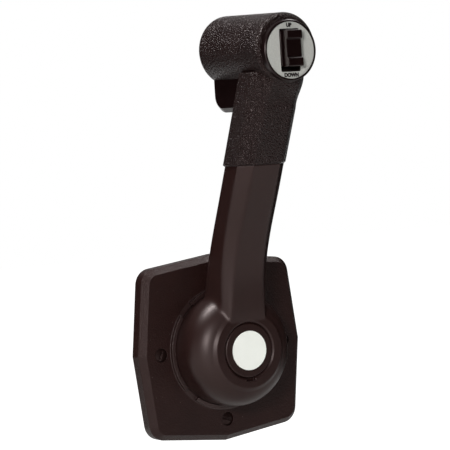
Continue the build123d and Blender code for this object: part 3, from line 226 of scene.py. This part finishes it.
def grained(tree, coordinates, scale, detail, strength, depth, roughness=0.5, below=None):
    """Relief of an even grain about 1 / scale metres wide, over the normals of the node below where one is
    given."""
    grain = add_node(tree, "ShaderNodeTexNoise",
                     inputs={"Scale": scale, "Detail": detail, "Roughness": roughness},
                     links={"Vector": (coordinates, "Object")})
    links = {"Height": (grain, "Fac")}
    if below:
        links["Normal"] = (below, "Normal")
    return add_node(tree, "ShaderNodeBump", inputs={"Strength": strength, "Distance": depth}, links=links)


def moulded_abs():
    """ABS moulded against a spark-eroded tool: a fine even grain that breaks highlights into specks, with
    dust caught in it, and a ring round the bell that the lever's skirt has rubbed glossy."""
    material, tree, coordinates = new_material("moulded_abs")
    rounded = add_node(tree, "ShaderNodeBevel", {"samples": EDGE_SAMPLES}, {"Radius": sizes().plate_edge})
    bump = grained(tree, coordinates, 0.5 / sizes().plate_grain, 2.0, 1.0, 0.3 * MM, 0.7, rounded)
    resin = mottled(tree, coordinates, colours().plate, 40.0, 0.85, 1.15)
    spots = add_node(tree, "ShaderNodeTexVoronoi",
                     inputs={"Scale": 1 / sizes().dust_spacing, "Randomness": 1.0},
                     links={"Vector": (coordinates, "Object")})
    dust = add_node(tree, "ShaderNodeMapRange",
                    inputs={"From Min": 0.02, "From Max": 0.06, "To Min": 0.4, "To Max": 0.0},
                    links={"Value": (spots, "Distance")})
    base = add_node(tree, "ShaderNodeMixRGB", inputs={"Color2": linear(colours().dust)},
                    links={"Fac": (dust, "Result"), "Color1": (resin, "Color")})
    rough = varied_roughness(tree, coordinates, 60.0, 0.36, 0.48)
    flat = add_node(tree, "ShaderNodeVectorMath", {"operation": "MULTIPLY"}, inputs={1: (1, 0, 1)},
                    links={0: (coordinates, "Object")})
    reach = add_node(tree, "ShaderNodeVectorMath", {"operation": "LENGTH"}, links={0: (flat, "Vector")})
    gloss = add_node(tree, "ShaderNodeMapRange",
                     inputs={"From Min": RING_OUTER, "From Max": RING_OUTER + RING_FADE,
                             "To Min": 0.65, "To Max": 0.25},
                     links={"Value": (reach, "Value")})
    finish_material(tree, {"IOR": 1.5, "Specular Tint": WARM_GLOSS}, base, rough, bump, gloss)
    return material


def satin_enamel():
    """Stoved enamel on a die casting: smooth and satin, with a faint orange peel about 2 mm wide. The
    casting's edges are fine round the hub and at the shoulder under the grip, and well rounded between."""
    material, tree, coordinates = new_material("satin_enamel")
    place = add_node(tree, "ShaderNodeSeparateXYZ", links={"Vector": (coordinates, "Object")})
    fine, full = sizes().hub_edge, sizes().arm_edge
    above_hub = add_node(tree, "ShaderNodeMapRange",
                         inputs={"From Min": HUB_TO_ARM[0], "From Max": HUB_TO_ARM[1],
                                 "To Min": fine, "To Max": full},
                         links={"Value": (place, "Z")})
    below_grip = add_node(tree, "ShaderNodeMapRange",
                          inputs={"From Min": ARM_TO_GRIP[0], "From Max": ARM_TO_GRIP[1],
                                  "To Min": full, "To Max": fine},
                          links={"Value": (place, "Z")})
    radius = add_node(tree, "ShaderNodeMath", {"operation": "MINIMUM"},
                      links={0: (above_hub, "Result"), 1: (below_grip, "Result")})
    rounded = add_node(tree, "ShaderNodeBevel", {"samples": EDGE_SAMPLES},
                       links={"Radius": (radius, "Value")})
    enamel(tree, coordinates, rounded)
    return material


def fine_edged_enamel():
    """The same enamel over the finer edges of a small piece."""
    material, tree, coordinates = new_material("fine_edged_enamel")
    rounded = add_node(tree, "ShaderNodeBevel", {"samples": EDGE_SAMPLES}, {"Radius": sizes().button_edge})
    enamel(tree, coordinates, rounded)
    return material


def enamel(tree, coordinates, rounded):
    """The stoved coat itself: its tone, gloss and peel over the rounded normals."""
    bump = grained(tree, coordinates, 1 / (2.0 * MM), 2.0, 0.1, 0.05 * MM, below=rounded)
    base = mottled(tree, coordinates, colours().arm, 25.0, 0.92, 1.08)
    rough = varied_roughness(tree, coordinates, 45.0, 0.37, 0.43)
    finish_material(tree, {"IOR": 1.5, "Specular IOR Level": 0.32, "Specular Tint": WARM_GLOSS},
                    base, rough, bump)


def pebbled_vinyl():
    """Soft vinyl moulded with a pebbled leather grain: rounded cells with fine creases between them."""
    material, tree, coordinates = new_material("pebbled_vinyl")
    pebble = sizes().grip_pebble
    warp = add_node(tree, "ShaderNodeTexNoise", inputs={"Scale": 0.7 / pebble, "Detail": 2.0},
                    links={"Vector": (coordinates, "Object")})
    shifted = add_node(tree, "ShaderNodeVectorMath", {"operation": "MULTIPLY_ADD"},
                       inputs={1: [0.6 * pebble] * 3},
                       links={0: (warp, "Color"), 2: (coordinates, "Object")})
    cells = add_node(tree, "ShaderNodeTexVoronoi", {"feature": "SMOOTH_F1"},
                     inputs={"Scale": 1 / pebble, "Smoothness": 0.5, "Randomness": 1.0},
                     links={"Vector": (shifted, "Vector")})
    bump = add_node(tree, "ShaderNodeBump", {"invert": True}, {"Strength": 1.0, "Distance": 1.0 * MM},
                    links={"Height": (cells, "Distance")})
    base = mottled(tree, coordinates, colours().grip, 35.0, 0.85, 1.2)
    rough = varied_roughness(tree, coordinates, 80.0, 0.26, 0.36)
    finish_material(tree, {"IOR": 1.5, "Specular IOR Level": 0.24, "Specular Tint": WARM_GLOSS},
                    base, rough, bump)
    return material


def smooth_nylon():
    """Nylon moulded in a polished tool: smooth, black, with soft handling marks in its gloss."""
    material, tree, coordinates = new_material("smooth_nylon")
    base = mottled(tree, coordinates, colours().gloss, 60.0, 0.9, 1.1)
    rough = varied_roughness(tree, coordinates, 120.0, 0.25, 0.36)
    bump = grained(tree, coordinates, 1 / (3.0 * MM), 2.0, 0.06, 0.05 * MM)
    finish_material(tree, {"IOR": 1.53, "Specular IOR Level": 0.25, "Specular Tint": WARM_GLOSS},
                    base, rough, bump)
    return material


def printed_silver():
    """Silver lacquer on a thin plate: a fine sparkle of flakes about 0.5 mm apart, satin sheen."""
    material, tree, coordinates = new_material("printed_silver")
    scale, detail, roughness = 1 / (0.5 * MM), 3.0, 0.8
    base = mottled(tree, coordinates, colours().silver, scale, 0.82, 1.12, detail, roughness, (0.35, 0.65))
    bump = grained(tree, coordinates, scale, detail, 0.2, 0.03 * MM, roughness)
    finish_material(tree, {"Roughness": 0.42, "Metallic": 0.35}, base, bump=bump)
    return material


def printed_enamel():
    """Pale enamel disc: even, slightly glossy, with a faint drift in tone."""
    material, tree, coordinates = new_material("printed_enamel")
    base = mottled(tree, coordinates, colours().badge, 90.0, 0.97, 1.02)
    rough = varied_roughness(tree, coordinates, 150.0, 0.3, 0.4)
    finish_material(tree, {"IOR": 1.5}, base, rough)
    return material


def zinc_plated_steel():
    """Zinc plated steel: bright grey crystals a few millimetres wide over fine tool marks."""
    material, tree, coordinates = new_material("zinc_plated_steel")
    crystals = add_node(tree, "ShaderNodeTexVoronoi", inputs={"Scale": 1 / (3.0 * MM)},
                        links={"Vector": (coordinates, "Object")})
    rough = add_node(tree, "ShaderNodeMapRange", inputs={"To Min": 0.26, "To Max": 0.42},
                     links={"Value": (crystals, "Distance")})
    bump = grained(tree, coordinates, 1 / (0.6 * MM), 4.0, 0.15, 0.03 * MM)
    base = mottled(tree, coordinates, colours().steel, 120.0, 0.85, 1.05)
    finish_material(tree, {"Metallic": 1.0}, base, rough, bump)
    return material


def black_oxide_steel():
    """Steel blacked in a hot salt bath: dark, a little oily, with fine tool marks."""
    material, tree, coordinates = new_material("black_oxide_steel")
    bump = grained(tree, coordinates, 1 / (0.7 * MM), 3.0, 0.15, 0.03 * MM)
    base = mottled(tree, coordinates, colours().black_steel, 150.0, 0.85, 1.15)
    rough = varied_roughness(tree, coordinates, 180.0, 0.3, 0.42)
    finish_material(tree, {"Metallic": 0.6, "Specular IOR Level": 0.25}, base, rough, bump)
    return material


def turned_steel():
    """Turned steel: fine rings round the shaft's axis from the cutting tool."""
    material, tree, coordinates = new_material("turned_steel")
    rings = add_node(tree, "ShaderNodeTexWave", {"wave_type": "BANDS", "bands_direction": "Y"},
                     inputs={"Scale": 1 / (4.0 * MM), "Distortion": 1.0, "Detail": 2.0},
                     links={"Vector": (coordinates, "Object")})
    bump = add_node(tree, "ShaderNodeBump", inputs={"Strength": 0.12, "Distance": 0.03 * MM},
                    links={"Height": (rings, "Fac")})
    base = mottled(tree, coordinates, colours().steel, 90.0, 0.75, 0.95)
    rough = varied_roughness(tree, coordinates, 200.0, 0.24, 0.36)
    finish_material(tree, {"Metallic": 1.0}, base, rough, bump)
    return material


def sand_cast_aluminium():
    """Cast and blasted aluminium: an even pale grain with shallow pits about 0.8 mm wide."""
    material, tree, coordinates = new_material("sand_cast_aluminium")
    bump = grained(tree, coordinates, 1 / (0.8 * MM), 5.0, 0.4, 0.12 * MM, 0.7)
    base = mottled(tree, coordinates, colours().cast, 55.0, 0.8, 1.05)
    rough = varied_roughness(tree, coordinates, 90.0, 0.48, 0.62)
    finish_material(tree, {"Metallic": 1.0}, base, rough, bump)
    return material


def acetal():
    """Natural acetal: a waxy off-white bearing plastic."""
    material, tree, coordinates = new_material("acetal")
    base = mottled(tree, coordinates, colours().polymer, 80.0, 0.94, 1.03)
    rough = varied_roughness(tree, coordinates, 110.0, 0.34, 0.44)
    finish_material(tree, {"IOR": 1.48}, base, rough)
    return material


def nitrile_rubber():
    """Nitrile rubber: dull black with a fine bloom on its skin."""
    material, tree, coordinates = new_material("nitrile_rubber")
    base = mottled(tree, coordinates, colours().rubber, 150.0, 0.8, 1.4)
    rough = varied_roughness(tree, coordinates, 200.0, 0.68, 0.85)
    finish_material(tree, {"IOR": 1.52}, base, rough)
    return material


def screen_ink():
    """Black screen ink on the silver plate: flat, slightly uneven in cover."""
    material, tree, coordinates = new_material("screen_ink")
    base = mottled(tree, coordinates, colours().gloss, 400.0, 0.8, 1.3)
    rough = varied_roughness(tree, coordinates, 500.0, 0.45, 0.6)
    finish_material(tree, {"IOR": 1.5}, base, rough)
    return material


FINISHES = {
    moulded_abs: ["mounting_plate"],
    satin_enamel: ["lever_arm"],
    fine_edged_enamel: ["throttle_only_button"],
    pebbled_vinyl: ["grip_shell"],
    smooth_nylon: ["grip_end_ring", "switch_body", "trim_rocker", "lock_bar"],
    printed_silver: ["switch_plate"],
    printed_enamel: ["hub_badge"],
    zinc_plated_steel: ["shift_arm", "shift_pin", "throttle_crank", "throttle_pin", "crank_nut",
                        "cable_bracket", "case_screws", "grip_screws", "lock_ring_screws", "shaft_screws"],
    black_oxide_steel: ["panel_screws"],
    turned_steel: ["neutral_lock_ring", "main_shaft", "push_rod", "clutch_pin", "shift_shaft", "lock_rod",
                   "rocker_pin", "detent_cam", "drive_gear", "shift_sector", "detent_spring", "lock_spring",
                   "button_spring", "shift_clip"],
    sand_cast_aluminium: ["rear_case", "rear_cover"],
    acetal: ["front_bush", "rear_bush", "shift_bush", "friction_washer", "rod_guides"],
    nitrile_rubber: ["panel_seal", "wire_grommet"],
}

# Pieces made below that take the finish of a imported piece
SAME_FINISH = {
    "trim_rocker": ["trim_rocker_soft"],
    "lock_bar": ["lock_bar_soft"],
    "lock_spring": ["lock_spring_coil"],
    "button_spring": ["button_spring_coil"],
    "detent_spring": ["detent_spring_flexed"],
    "switch_body": ["switch_rail_left", "switch_rail_right"],
    "panel_screws": ["screw_head_1", "screw_head_2", "screw_head_3", "screw_head_4"],
}


def dress(piece, material):
    piece.data.materials.clear()
    piece.data.materials.append(material)


def add_piece(context, name, mesh, body):
    """Adds a finished mesh as a piece that moves with a body."""
    piece = bpy.data.objects.new(name, mesh)
    context.collection.objects.link(piece)
    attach(piece, body)
    return piece


def merged_copy(node, name):
    """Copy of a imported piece's mesh with its corners merged, and the same as an open edit."""
    mesh = frame["nodes"][node].data.copy()
    mesh.name = name
    work = bmesh.new()
    work.from_mesh(mesh)
    bmesh.ops.remove_doubles(work, verts=work.verts, dist=0.002 * MM)
    return mesh, work


def close_edit(mesh, work, sharp_angle):
    """Writes an edit back and shades it smooth but for edges sharper than the angle in degrees."""
    work.to_mesh(mesh)
    work.free()
    mesh.shade_smooth()
    mesh.set_sharp_from_angle(angle=math.radians(sharp_angle))


def grid_mesh(name, points, rows, columns):
    """Mesh of a grid whose columns close round, with a flat cap on its first and last row."""
    index = np.arange(rows * columns).reshape(rows, columns)
    beside = np.roll(index, -1, axis=1)
    quads = np.stack([index[:-1], beside[:-1], beside[1:], index[1:]], axis=-1).reshape(-1, 4)
    faces = quads.tolist() + [index[0][::-1].tolist(), index[-1].tolist()]
    mesh = bpy.data.meshes.new(name)
    mesh.from_pydata(points.reshape(-1, 3).tolist(), [], faces)
    work = bmesh.new()
    work.from_mesh(mesh)
    bmesh.ops.remove_doubles(work, verts=work.verts, dist=0.001 * MM)
    bmesh.ops.recalc_face_normals(work, faces=work.faces)
    close_edit(mesh, work, 40)
    return mesh


def round_turn(count):
    """Evenly spaced angles round one full turn, without the last one that would meet the first."""
    return np.linspace(0, 2 * math.pi, count + 1)[:-1]


# Radius in millimetres of the moulded edges of the pieces under a thumb
SOFT_EDGES = {"trim_rocker": 0.7, "lock_bar": 0.7}


class CONTROL_OT_soft_edges(bpy.types.Operator):
    """Stand a copy with rounded edges in for each piece that a thumb presses"""
    bl_idname = "control.soft_edges"
    bl_label = "Soft edges"

    def execute(self, context):
        for node, radius in SOFT_EDGES.items():
            mesh, work = merged_copy(node, node + "_soft")
            self.round_edges(work, radius * MM)
            close_edit(mesh, work, 32)
            piece = add_piece(context, node + "_soft", mesh, BODY_OF[node])
            piece.modifiers.new("flat faces keep their normals", "WEIGHTED_NORMAL").keep_sharp = True
            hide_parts(node)
        return {"FINISHED"}

    def round_edges(self, work, radius):
        """Join flat facets, and round every edge that turns by more than 28 degrees."""
        bmesh.ops.dissolve_limit(work, angle_limit=math.radians(0.3), verts=work.verts, edges=work.edges)
        turns = math.radians(28)
        sharp = [edge for edge in work.edges if edge.is_manifold and edge.calc_face_angle(0.0) > turns]
        bmesh.ops.bevel(work, geom=sharp, offset=radius, offset_type="OFFSET", segments=3, profile=0.5,
                        affect="EDGES", clamp_overlap=True)
        bmesh.ops.triangulate(work, faces=work.faces)


# Directions in degrees of the screws' slots, as they were left when tightened
SLOT_ANGLES = (20.0, 130.0, 65.0, 160.0)


class CONTROL_OT_screw_heads(bpy.types.Operator):
    """Set a slotted domed head on each of the four screws that hold the plate"""
    bl_idname = "control.screw_heads"
    bl_label = "Screw heads"

    def execute(self, context):
        reach = sizes().screw_circle
        for place, angle in enumerate(SLOT_ANGLES):
            turn = place * math.pi / 2
            mesh = self.head(reach * math.cos(turn), reach * math.sin(turn), math.radians(angle))
            add_piece(context, f"screw_head_{place + 1}", mesh, "plate")
        return {"FINISHED"}

    def head(self, x, z, angle):
        """Dome on rings of radius r: its height is rise * (1 - (r / R)^2), less the slot's depth where a
        point lies within half the slot's width of its line. The rim goes down by the rise, and flat discs
        close both ends."""
        radius, rise = sizes().screw_head_radius, sizes().screw_dome
        half_slot, soft_wall = sizes().screw_slot_width / 2, 0.06 * MM
        innermost = 0.04
        rings = np.concatenate([np.linspace(innermost, 1.0, 22), [1.0, innermost]]) * radius
        turns = round_turn(48)
        r, a = np.meshgrid(rings, turns, indexing="ij")
        across = np.abs(r * np.sin(a - angle))
        slot = 1 / (1 + np.exp((across - half_slot) / soft_wall))
        height = rise * (1 - (r / radius) ** 2) - sizes().screw_slot_depth * slot
        height[-2:] = -rise
        points = np.stack([x + r * np.cos(a), SCREW_HEAD_FRONT - height, z + r * np.sin(a)], axis=-1)
        return grid_mesh("screw_head", points, len(rings), len(turns))


class CONTROL_OT_springs(bpy.types.Operator):
    """Wind the coil springs, and stand a merged copy in for the strip spring"""
    bl_idname = "control.springs"
    bl_label = "Springs"

    def execute(self, context):
        own = sizes()
        along_rod = Vector((0, -math.sin(own.rod_lean), math.cos(own.rod_lean)))
        inwards = Vector((0, 1, 0))
        self.wind(context, "lock_spring", along_rod, own.lock_spring_wire, 9,
                  "lock_lift", own.lock_travel)
        self.wind(context, "button_spring", inwards, own.button_spring_wire, 4,
                  "button_press", own.button_travel)
        self.flex(context)
        return {"FINISHED"}

    def wind(self, context, node, axis, wire, turns, joint, travel):
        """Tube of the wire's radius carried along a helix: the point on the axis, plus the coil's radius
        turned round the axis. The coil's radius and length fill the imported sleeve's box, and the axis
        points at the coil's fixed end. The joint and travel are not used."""
        low, high = (Vector(corner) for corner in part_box(node))
        middle, extent = (low + high) / 2, high - low
        outer = extent.x / 2
        full = (extent.z - 2 * outer * abs(axis.y)) / axis.z if axis.z else extent.y
        coil, half = outer - wire, full / 2 - wire
        sideways = Vector((1, 0, 0))
        across = axis.cross(sideways)
        u = np.linspace(0, 1, 28 * turns + 1)
        spin = u * 2 * math.pi * turns
        outwards = np.outer(np.cos(spin), sideways) + np.outer(np.sin(spin), across)
        centre = np.array(middle) + np.outer((2 * u - 1) * half, axis) + coil * outwards
        v = round_turn(10)
        points = (centre[:, None] + wire * np.cos(v)[None, :, None] * outwards[:, None]
                  + wire * np.sin(v)[None, :, None] * np.array(axis))
        mesh = grid_mesh(node + "_coil", points, len(u), len(v))
        piece = add_piece(context, node + "_coil", mesh, BODY_OF[node])
        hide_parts(node)
        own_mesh(piece)

    def flex(self, context):
        """Merged copy of the strip spring, shaded smooth, that stands in for the imported one. The real
        spring's nose is lifted out of the cam's notch as the lever turns."""
        mesh, work = merged_copy("detent_spring", "detent_spring_flexed")
        close_edit(mesh, work, 30)
        piece = add_piece(context, "detent_spring_flexed", mesh, BODY_OF["detent_spring"])
        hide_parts("detent_spring")
        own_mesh(piece)


class CONTROL_OT_switch_rails(bpy.types.Operator):
    """Fit the two guide rails that stand in the switch's opening beside the rocker"""
    bl_idname = "control.switch_rails"
    bl_label = "Switch rails"

    def execute(self, context):
        rocker_low, rocker_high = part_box("trim_rocker")
        middle = (rocker_low[2] + rocker_high[2]) / 2
        for side, name in ((-1, "switch_rail_left"), (1, "switch_rail_right")):
            mesh = self.rail(name, side * sizes().rail_place, SWITCH_PLATE[0][1], middle)
            add_piece(context, name, mesh, "lever")
        return {"FINISHED"}

    def rail(self, name, x, face, z):
        """Round-cornered section |x / a|^4 + |y / b|^4 = 1 carried up the rocker's side, with its ends drawn
        in by the square root of 1 - t^40 over the last stretch."""
        along = np.sin(np.linspace(-math.pi / 2, math.pi / 2, 41))
        turns = round_turn(32)
        t, a = np.meshgrid(along, turns, indexing="ij")
        end = np.clip(1 - np.abs(t) ** 40, 0.02, 1.0) ** 0.5
        half_width, half_depth, sunk = sizes().rail_width / 2, 2.0 * MM, 1.4 * MM
        across = half_width * np.sign(np.cos(a)) * np.abs(np.cos(a)) ** 0.5 * end
        deep = half_depth * np.sign(np.sin(a)) * np.abs(np.sin(a)) ** 0.5 * end
        points = np.stack([x + across, face + sunk + deep, z + t * sizes().rail_length / 2], axis=-1)
        return grid_mesh(name, points, len(along), len(turns))


class CONTROL_OT_finishes(bpy.types.Operator):
    """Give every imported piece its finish, and the pieces made here the one of the piece they belong to"""
    bl_idname = "control.finishes"
    bl_label = "Finishes"

    def execute(self, context):
        for make, nodes in FINISHES.items():
            material = make()
            for node in nodes:
                dress(frame["nodes"][node], material)
                for name in SAME_FINISH.get(node, ()):
                    dress(bpy.data.objects[name], material)
        return {"FINISHED"}


class CONTROL_OT_lettering(bpy.types.Operator):
    """Print the words UP and DOWN above and below the rocker"""
    bl_idname = "control.lettering"
    bl_label = "Rocker lettering"

    def execute(self, context):
        low, high = SWITCH_PLATE
        centre_z = (low[2] + high[2]) / 2
        face_y = low[1]
        ink = screen_ink()
        for word, side in (("UP", 1), ("DOWN", -1)):
            curve = bpy.data.curves.new("word_" + word.lower(), "FONT")
            curve.body = word
            curve.align_x = "CENTER"
            curve.align_y = "CENTER"
            curve.size = sizes().letter_height / CAPITAL_SHARE
            curve.extrude = sizes().letter_thickness
            curve.offset = sizes().letter_boldness
            text = bpy.data.objects.new("text", curve)
            context.collection.objects.link(text)
            mesh = bpy.data.meshes.new_from_object(text.evaluated_get(context.evaluated_depsgraph_get()))
            bpy.data.objects.remove(text)
            turn = Matrix.Rotation(math.pi / 2, 4, "X")
            mesh.transform(Matrix.Translation((0, face_y, centre_z + side * sizes().word_place)) @ turn)
            piece = add_piece(context, "word_" + word.lower(), mesh, "lever")
            dress(piece, ink)
        return {"FINISHED"}


def soft_light(context, name, direction, distance, width, height, power):
    """Area lamp that stands at a distance in one direction from the lit point and faces it."""
    lamp = bpy.data.lights.new(name, "AREA")
    lamp.shape = "RECTANGLE"
    lamp.size = width
    lamp.size_y = height
    lamp.energy = power
    piece = bpy.data.objects.new(name, lamp)
    way = Vector(direction).normalized()
    piece.location = LIT_POINT + way * distance
    piece.rotation_euler = (-way).to_track_quat("-Z", "Y").to_euler()
    context.collection.objects.link(piece)


def dark_card(context, name, direction, distance, width, height):
    """Upright black card beside the object that only reflections see, as a studio's flag."""
    way = Vector(direction).normalized()
    turn = way.to_track_quat("Z", "Y").to_matrix()
    corners = [LIT_POINT + way * distance + turn @ Vector((x * width / 2, y * height / 2, 0))
               for x, y in ((-1, -1), (1, -1), (1, 1), (-1, 1))]
    mesh = bpy.data.meshes.new(name)
    mesh.from_pydata(corners, [], [(0, 1, 2, 3)])
    card = bpy.data.objects.new(name, mesh)
    context.collection.objects.link(card)
    card.visible_camera = False
    card.visible_diffuse = False
    card.visible_shadow = False
    material, tree, _ = new_material("black_card")
    paint = add_node(tree, "ShaderNodeBsdfDiffuse", inputs={"Color": linear(colours().card)})
    add_node(tree, "ShaderNodeOutputMaterial", links={"Surface": (paint, "BSDF")})
    dress(card, material)


# Lamps as name: direction, distance in metres, width and height in metres, power in watts
LAMPS = {
    "top_box": ((-0.3, 0.28, 0.91), 1.2, 0.3, 0.3, 17.0),
    "front_box": ((-0.66, -0.71, 0.23), 1.5, 0.25, 0.25, 16.0),
    "fill_box": ((0.1, -0.75, 0.65), 1.8, 1.2, 1.0, 2.5),
    "back_box": ((0.53, 0.06, 0.85), 1.5, 0.5, 0.5, 9.0),
}
# Black cards as name: direction, distance, width and height in metres
CARDS = {
    "left_card": ((-0.53, 0.85, 0.1), 0.9, 1.3, 0.9),
    "right_card": ((0.53, -0.85, 0.1), 0.9, 1.3, 0.8),
    "far_right_card": ((0.98, 0.2, 0.0), 0.9, 1.1, 0.9),
}
# Floor: half its width, how far it lies below the plate, and the stretch over which it turns to plain white
FLOOR_HALF = 6.0
FLOOR_DROP = 0.3
FLOOR_FADE = (0.3, 1.5)


def reflected(tree):
    """The light path, and 1 where what is shaded is seen in a reflection or through glass."""
    path = add_node(tree, "ShaderNodeLightPath")
    shiny = add_node(tree, "ShaderNodeMath", {"operation": "MAXIMUM"},
                     links={0: (path, "Is Glossy Ray"), 1: (path, "Is Transmission Ray")})
    return path, shiny


class CONTROL_OT_stage(bpy.types.Operator):
    """Floor, soft light and the camera at the photograph's angle"""
    bl_idname = "control.stage"
    bl_label = "Stage"

    def execute(self, context):
        context.scene.view_settings.view_transform = "Standard"
        self.make_world(context.scene)
        self.make_floor(context)
        for name, place in LAMPS.items():
            soft_light(context, name, *place)
        for name, place in CARDS.items():
            dark_card(context, name, *place)
        self.make_camera(context)
        return {"FINISHED"}

    def make_world(self, scene):
        """White to the camera. Reflections see white at the horizon under a dim ceiling, and all other light
        is a soft fill."""
        world = bpy.data.worlds.new("studio")
        world.use_nodes = True
        tree = world.node_tree
        tree.nodes.clear()
        seen = add_node(tree, "ShaderNodeBackground", inputs={"Color": (1, 1, 1, 1), "Strength": 1.0})
        fill = add_node(tree, "ShaderNodeBackground", inputs={"Color": (1, 1, 1, 1), "Strength": 0.2})
        way = add_node(tree, "ShaderNodeTexCoord")
        parts = add_node(tree, "ShaderNodeSeparateXYZ", links={"Vector": (way, "Generated")})
        ceiling = add_node(tree, "ShaderNodeMapRange",
                           inputs={"From Min": 0.12, "From Max": 0.4, "To Min": 1.0, "To Max": 0.08},
                           links={"Value": (parts, "Z")})
        mirrored = add_node(tree, "ShaderNodeBackground", inputs={"Color": (1, 1, 1, 1)},
                            links={"Strength": (ceiling, "Result")})
        path, shiny = reflected(tree)
        inner = add_node(tree, "ShaderNodeMixShader",
                         links={0: (shiny, "Value"), 1: (fill, "Background"), 2: (mirrored, "Background")})
        outer = add_node(tree, "ShaderNodeMixShader",
                         links={0: (path, "Is Camera Ray"), 1: (inner, "Shader"), 2: (seen, "Background")})
        add_node(tree, "ShaderNodeOutputWorld", links={"Surface": (outer, "Shader")})
        scene.world = world

    def make_floor(self, context):
        """Pale floor that keeps the object's shadow and turns to plain white farther out."""
        level = PLATE_LOW - FLOOR_DROP
        corners = [(x * FLOOR_HALF, y * FLOOR_HALF, level) for x, y in ((-1, -1), (1, -1), (1, 1), (-1, 1))]
        mesh = bpy.data.meshes.new("floor")
        mesh.from_pydata(corners, [], [(0, 1, 2, 3)])
        floor = bpy.data.objects.new("floor", mesh)
        context.collection.objects.link(floor)
        material, tree, place = new_material("studio_floor")
        away = add_node(tree, "ShaderNodeVectorMath", {"operation": "DISTANCE"}, inputs={1: (0, 0, level)},
                        links={0: (place, "Object")})
        glow_share = add_node(tree, "ShaderNodeMapRange", {"interpolation_type": "SMOOTHSTEP"},
                              inputs={"From Min": FLOOR_FADE[0], "From Max": FLOOR_FADE[1]},
                              links={"Value": (away, "Value")})
        path, shiny = reflected(tree)
        looked_at = add_node(tree, "ShaderNodeMath", {"operation": "MAXIMUM"},
                             links={0: (path, "Is Camera Ray"), 1: (shiny, "Value")})
        strength = add_node(tree, "ShaderNodeMath", {"operation": "MULTIPLY"},
                            links={0: (glow_share, "Result"), 1: (looked_at, "Value")})
        paint = add_node(tree, "ShaderNodeBsdfDiffuse", inputs={"Color": linear(colours().floor)})
        glow = add_node(tree, "ShaderNodeEmission", inputs={"Color": (1, 1, 1, 1)},
                        links={"Strength": (strength, "Value")})
        both = add_node(tree, "ShaderNodeAddShader", links={0: (paint, "BSDF"), 1: (glow, "Emission")})
        add_node(tree, "ShaderNodeOutputMaterial", links={"Surface": (both, "Shader")})
        dress(floor, material)

    def make_camera(self, context):
        """Camera from its azimuth, elevation, roll and distance about the point it looks at."""
        azimuth, elevation, roll = sizes().camera_azimuth, sizes().camera_elevation, sizes().camera_roll
        back = Vector((math.sin(azimuth) * math.cos(elevation), -math.cos(azimuth) * math.cos(elevation),
                       math.sin(elevation)))
        level_right = Vector((0, 0, 1)).cross(back).normalized()
        level_up = back.cross(level_right)
        right = math.cos(roll) * level_right + math.sin(roll) * level_up
        up = math.cos(roll) * level_up - math.sin(roll) * level_right
        data = bpy.data.cameras.new("camera")
        data.sensor_width = 36.0
        data.lens = sizes().camera_lens
        data.clip_start = 0.05
        data.clip_end = 50.0
        camera = bpy.data.objects.new("camera", data)
        context.collection.objects.link(camera)
        turn = Matrix((right, up, back)).transposed()
        place = LOOKED_AT + back * sizes().camera_distance
        camera.matrix_world = Matrix.Translation(place) @ turn.to_4x4()
        context.scene.camera = camera


class CONTROL_PT_panel(bpy.types.Panel):
    """Sizes, colours and steps of the boat control"""
    bl_label = "Boat control lever"
    bl_idname = "CONTROL_PT_panel"
    bl_space_type = "VIEW_3D"
    bl_region_type = "UI"
    bl_category = "Boat control"

    def draw(self, context):
        for name in ControlSizes.__annotations__:
            self.layout.prop(context.scene.control_sizes, name)
        for name in ControlColours.__annotations__:
            self.layout.prop(context.scene.control_colours, name)
        for step in STEPS:
            self.layout.operator(step.bl_idname)


STEPS = (CONTROL_OT_soft_edges, CONTROL_OT_screw_heads, CONTROL_OT_switch_rails,
         CONTROL_OT_springs, CONTROL_OT_finishes, CONTROL_OT_lettering, CONTROL_OT_stage)
CLASSES = (ControlSizes, ControlColours, *STEPS, CONTROL_PT_panel)


def register():
    for item in CLASSES:
        bpy.utils.register_class(item)
    bpy.types.Scene.control_sizes = PointerProperty(type=ControlSizes)
    bpy.types.Scene.control_colours = PointerProperty(type=ControlColours)


def unregister():
    del bpy.types.Scene.control_colours
    del bpy.types.Scene.control_sizes
    for item in reversed(CLASSES):
        bpy.utils.unregister_class(item)


def main():
    register()
    bpy.ops.control.soft_edges()
    bpy.ops.control.screw_heads()
    bpy.ops.control.switch_rails()
    bpy.ops.control.springs()
    bpy.ops.control.finishes()
    bpy.ops.control.lettering()
    bpy.ops.control.stage()


if __name__ == "__main__":
    main()
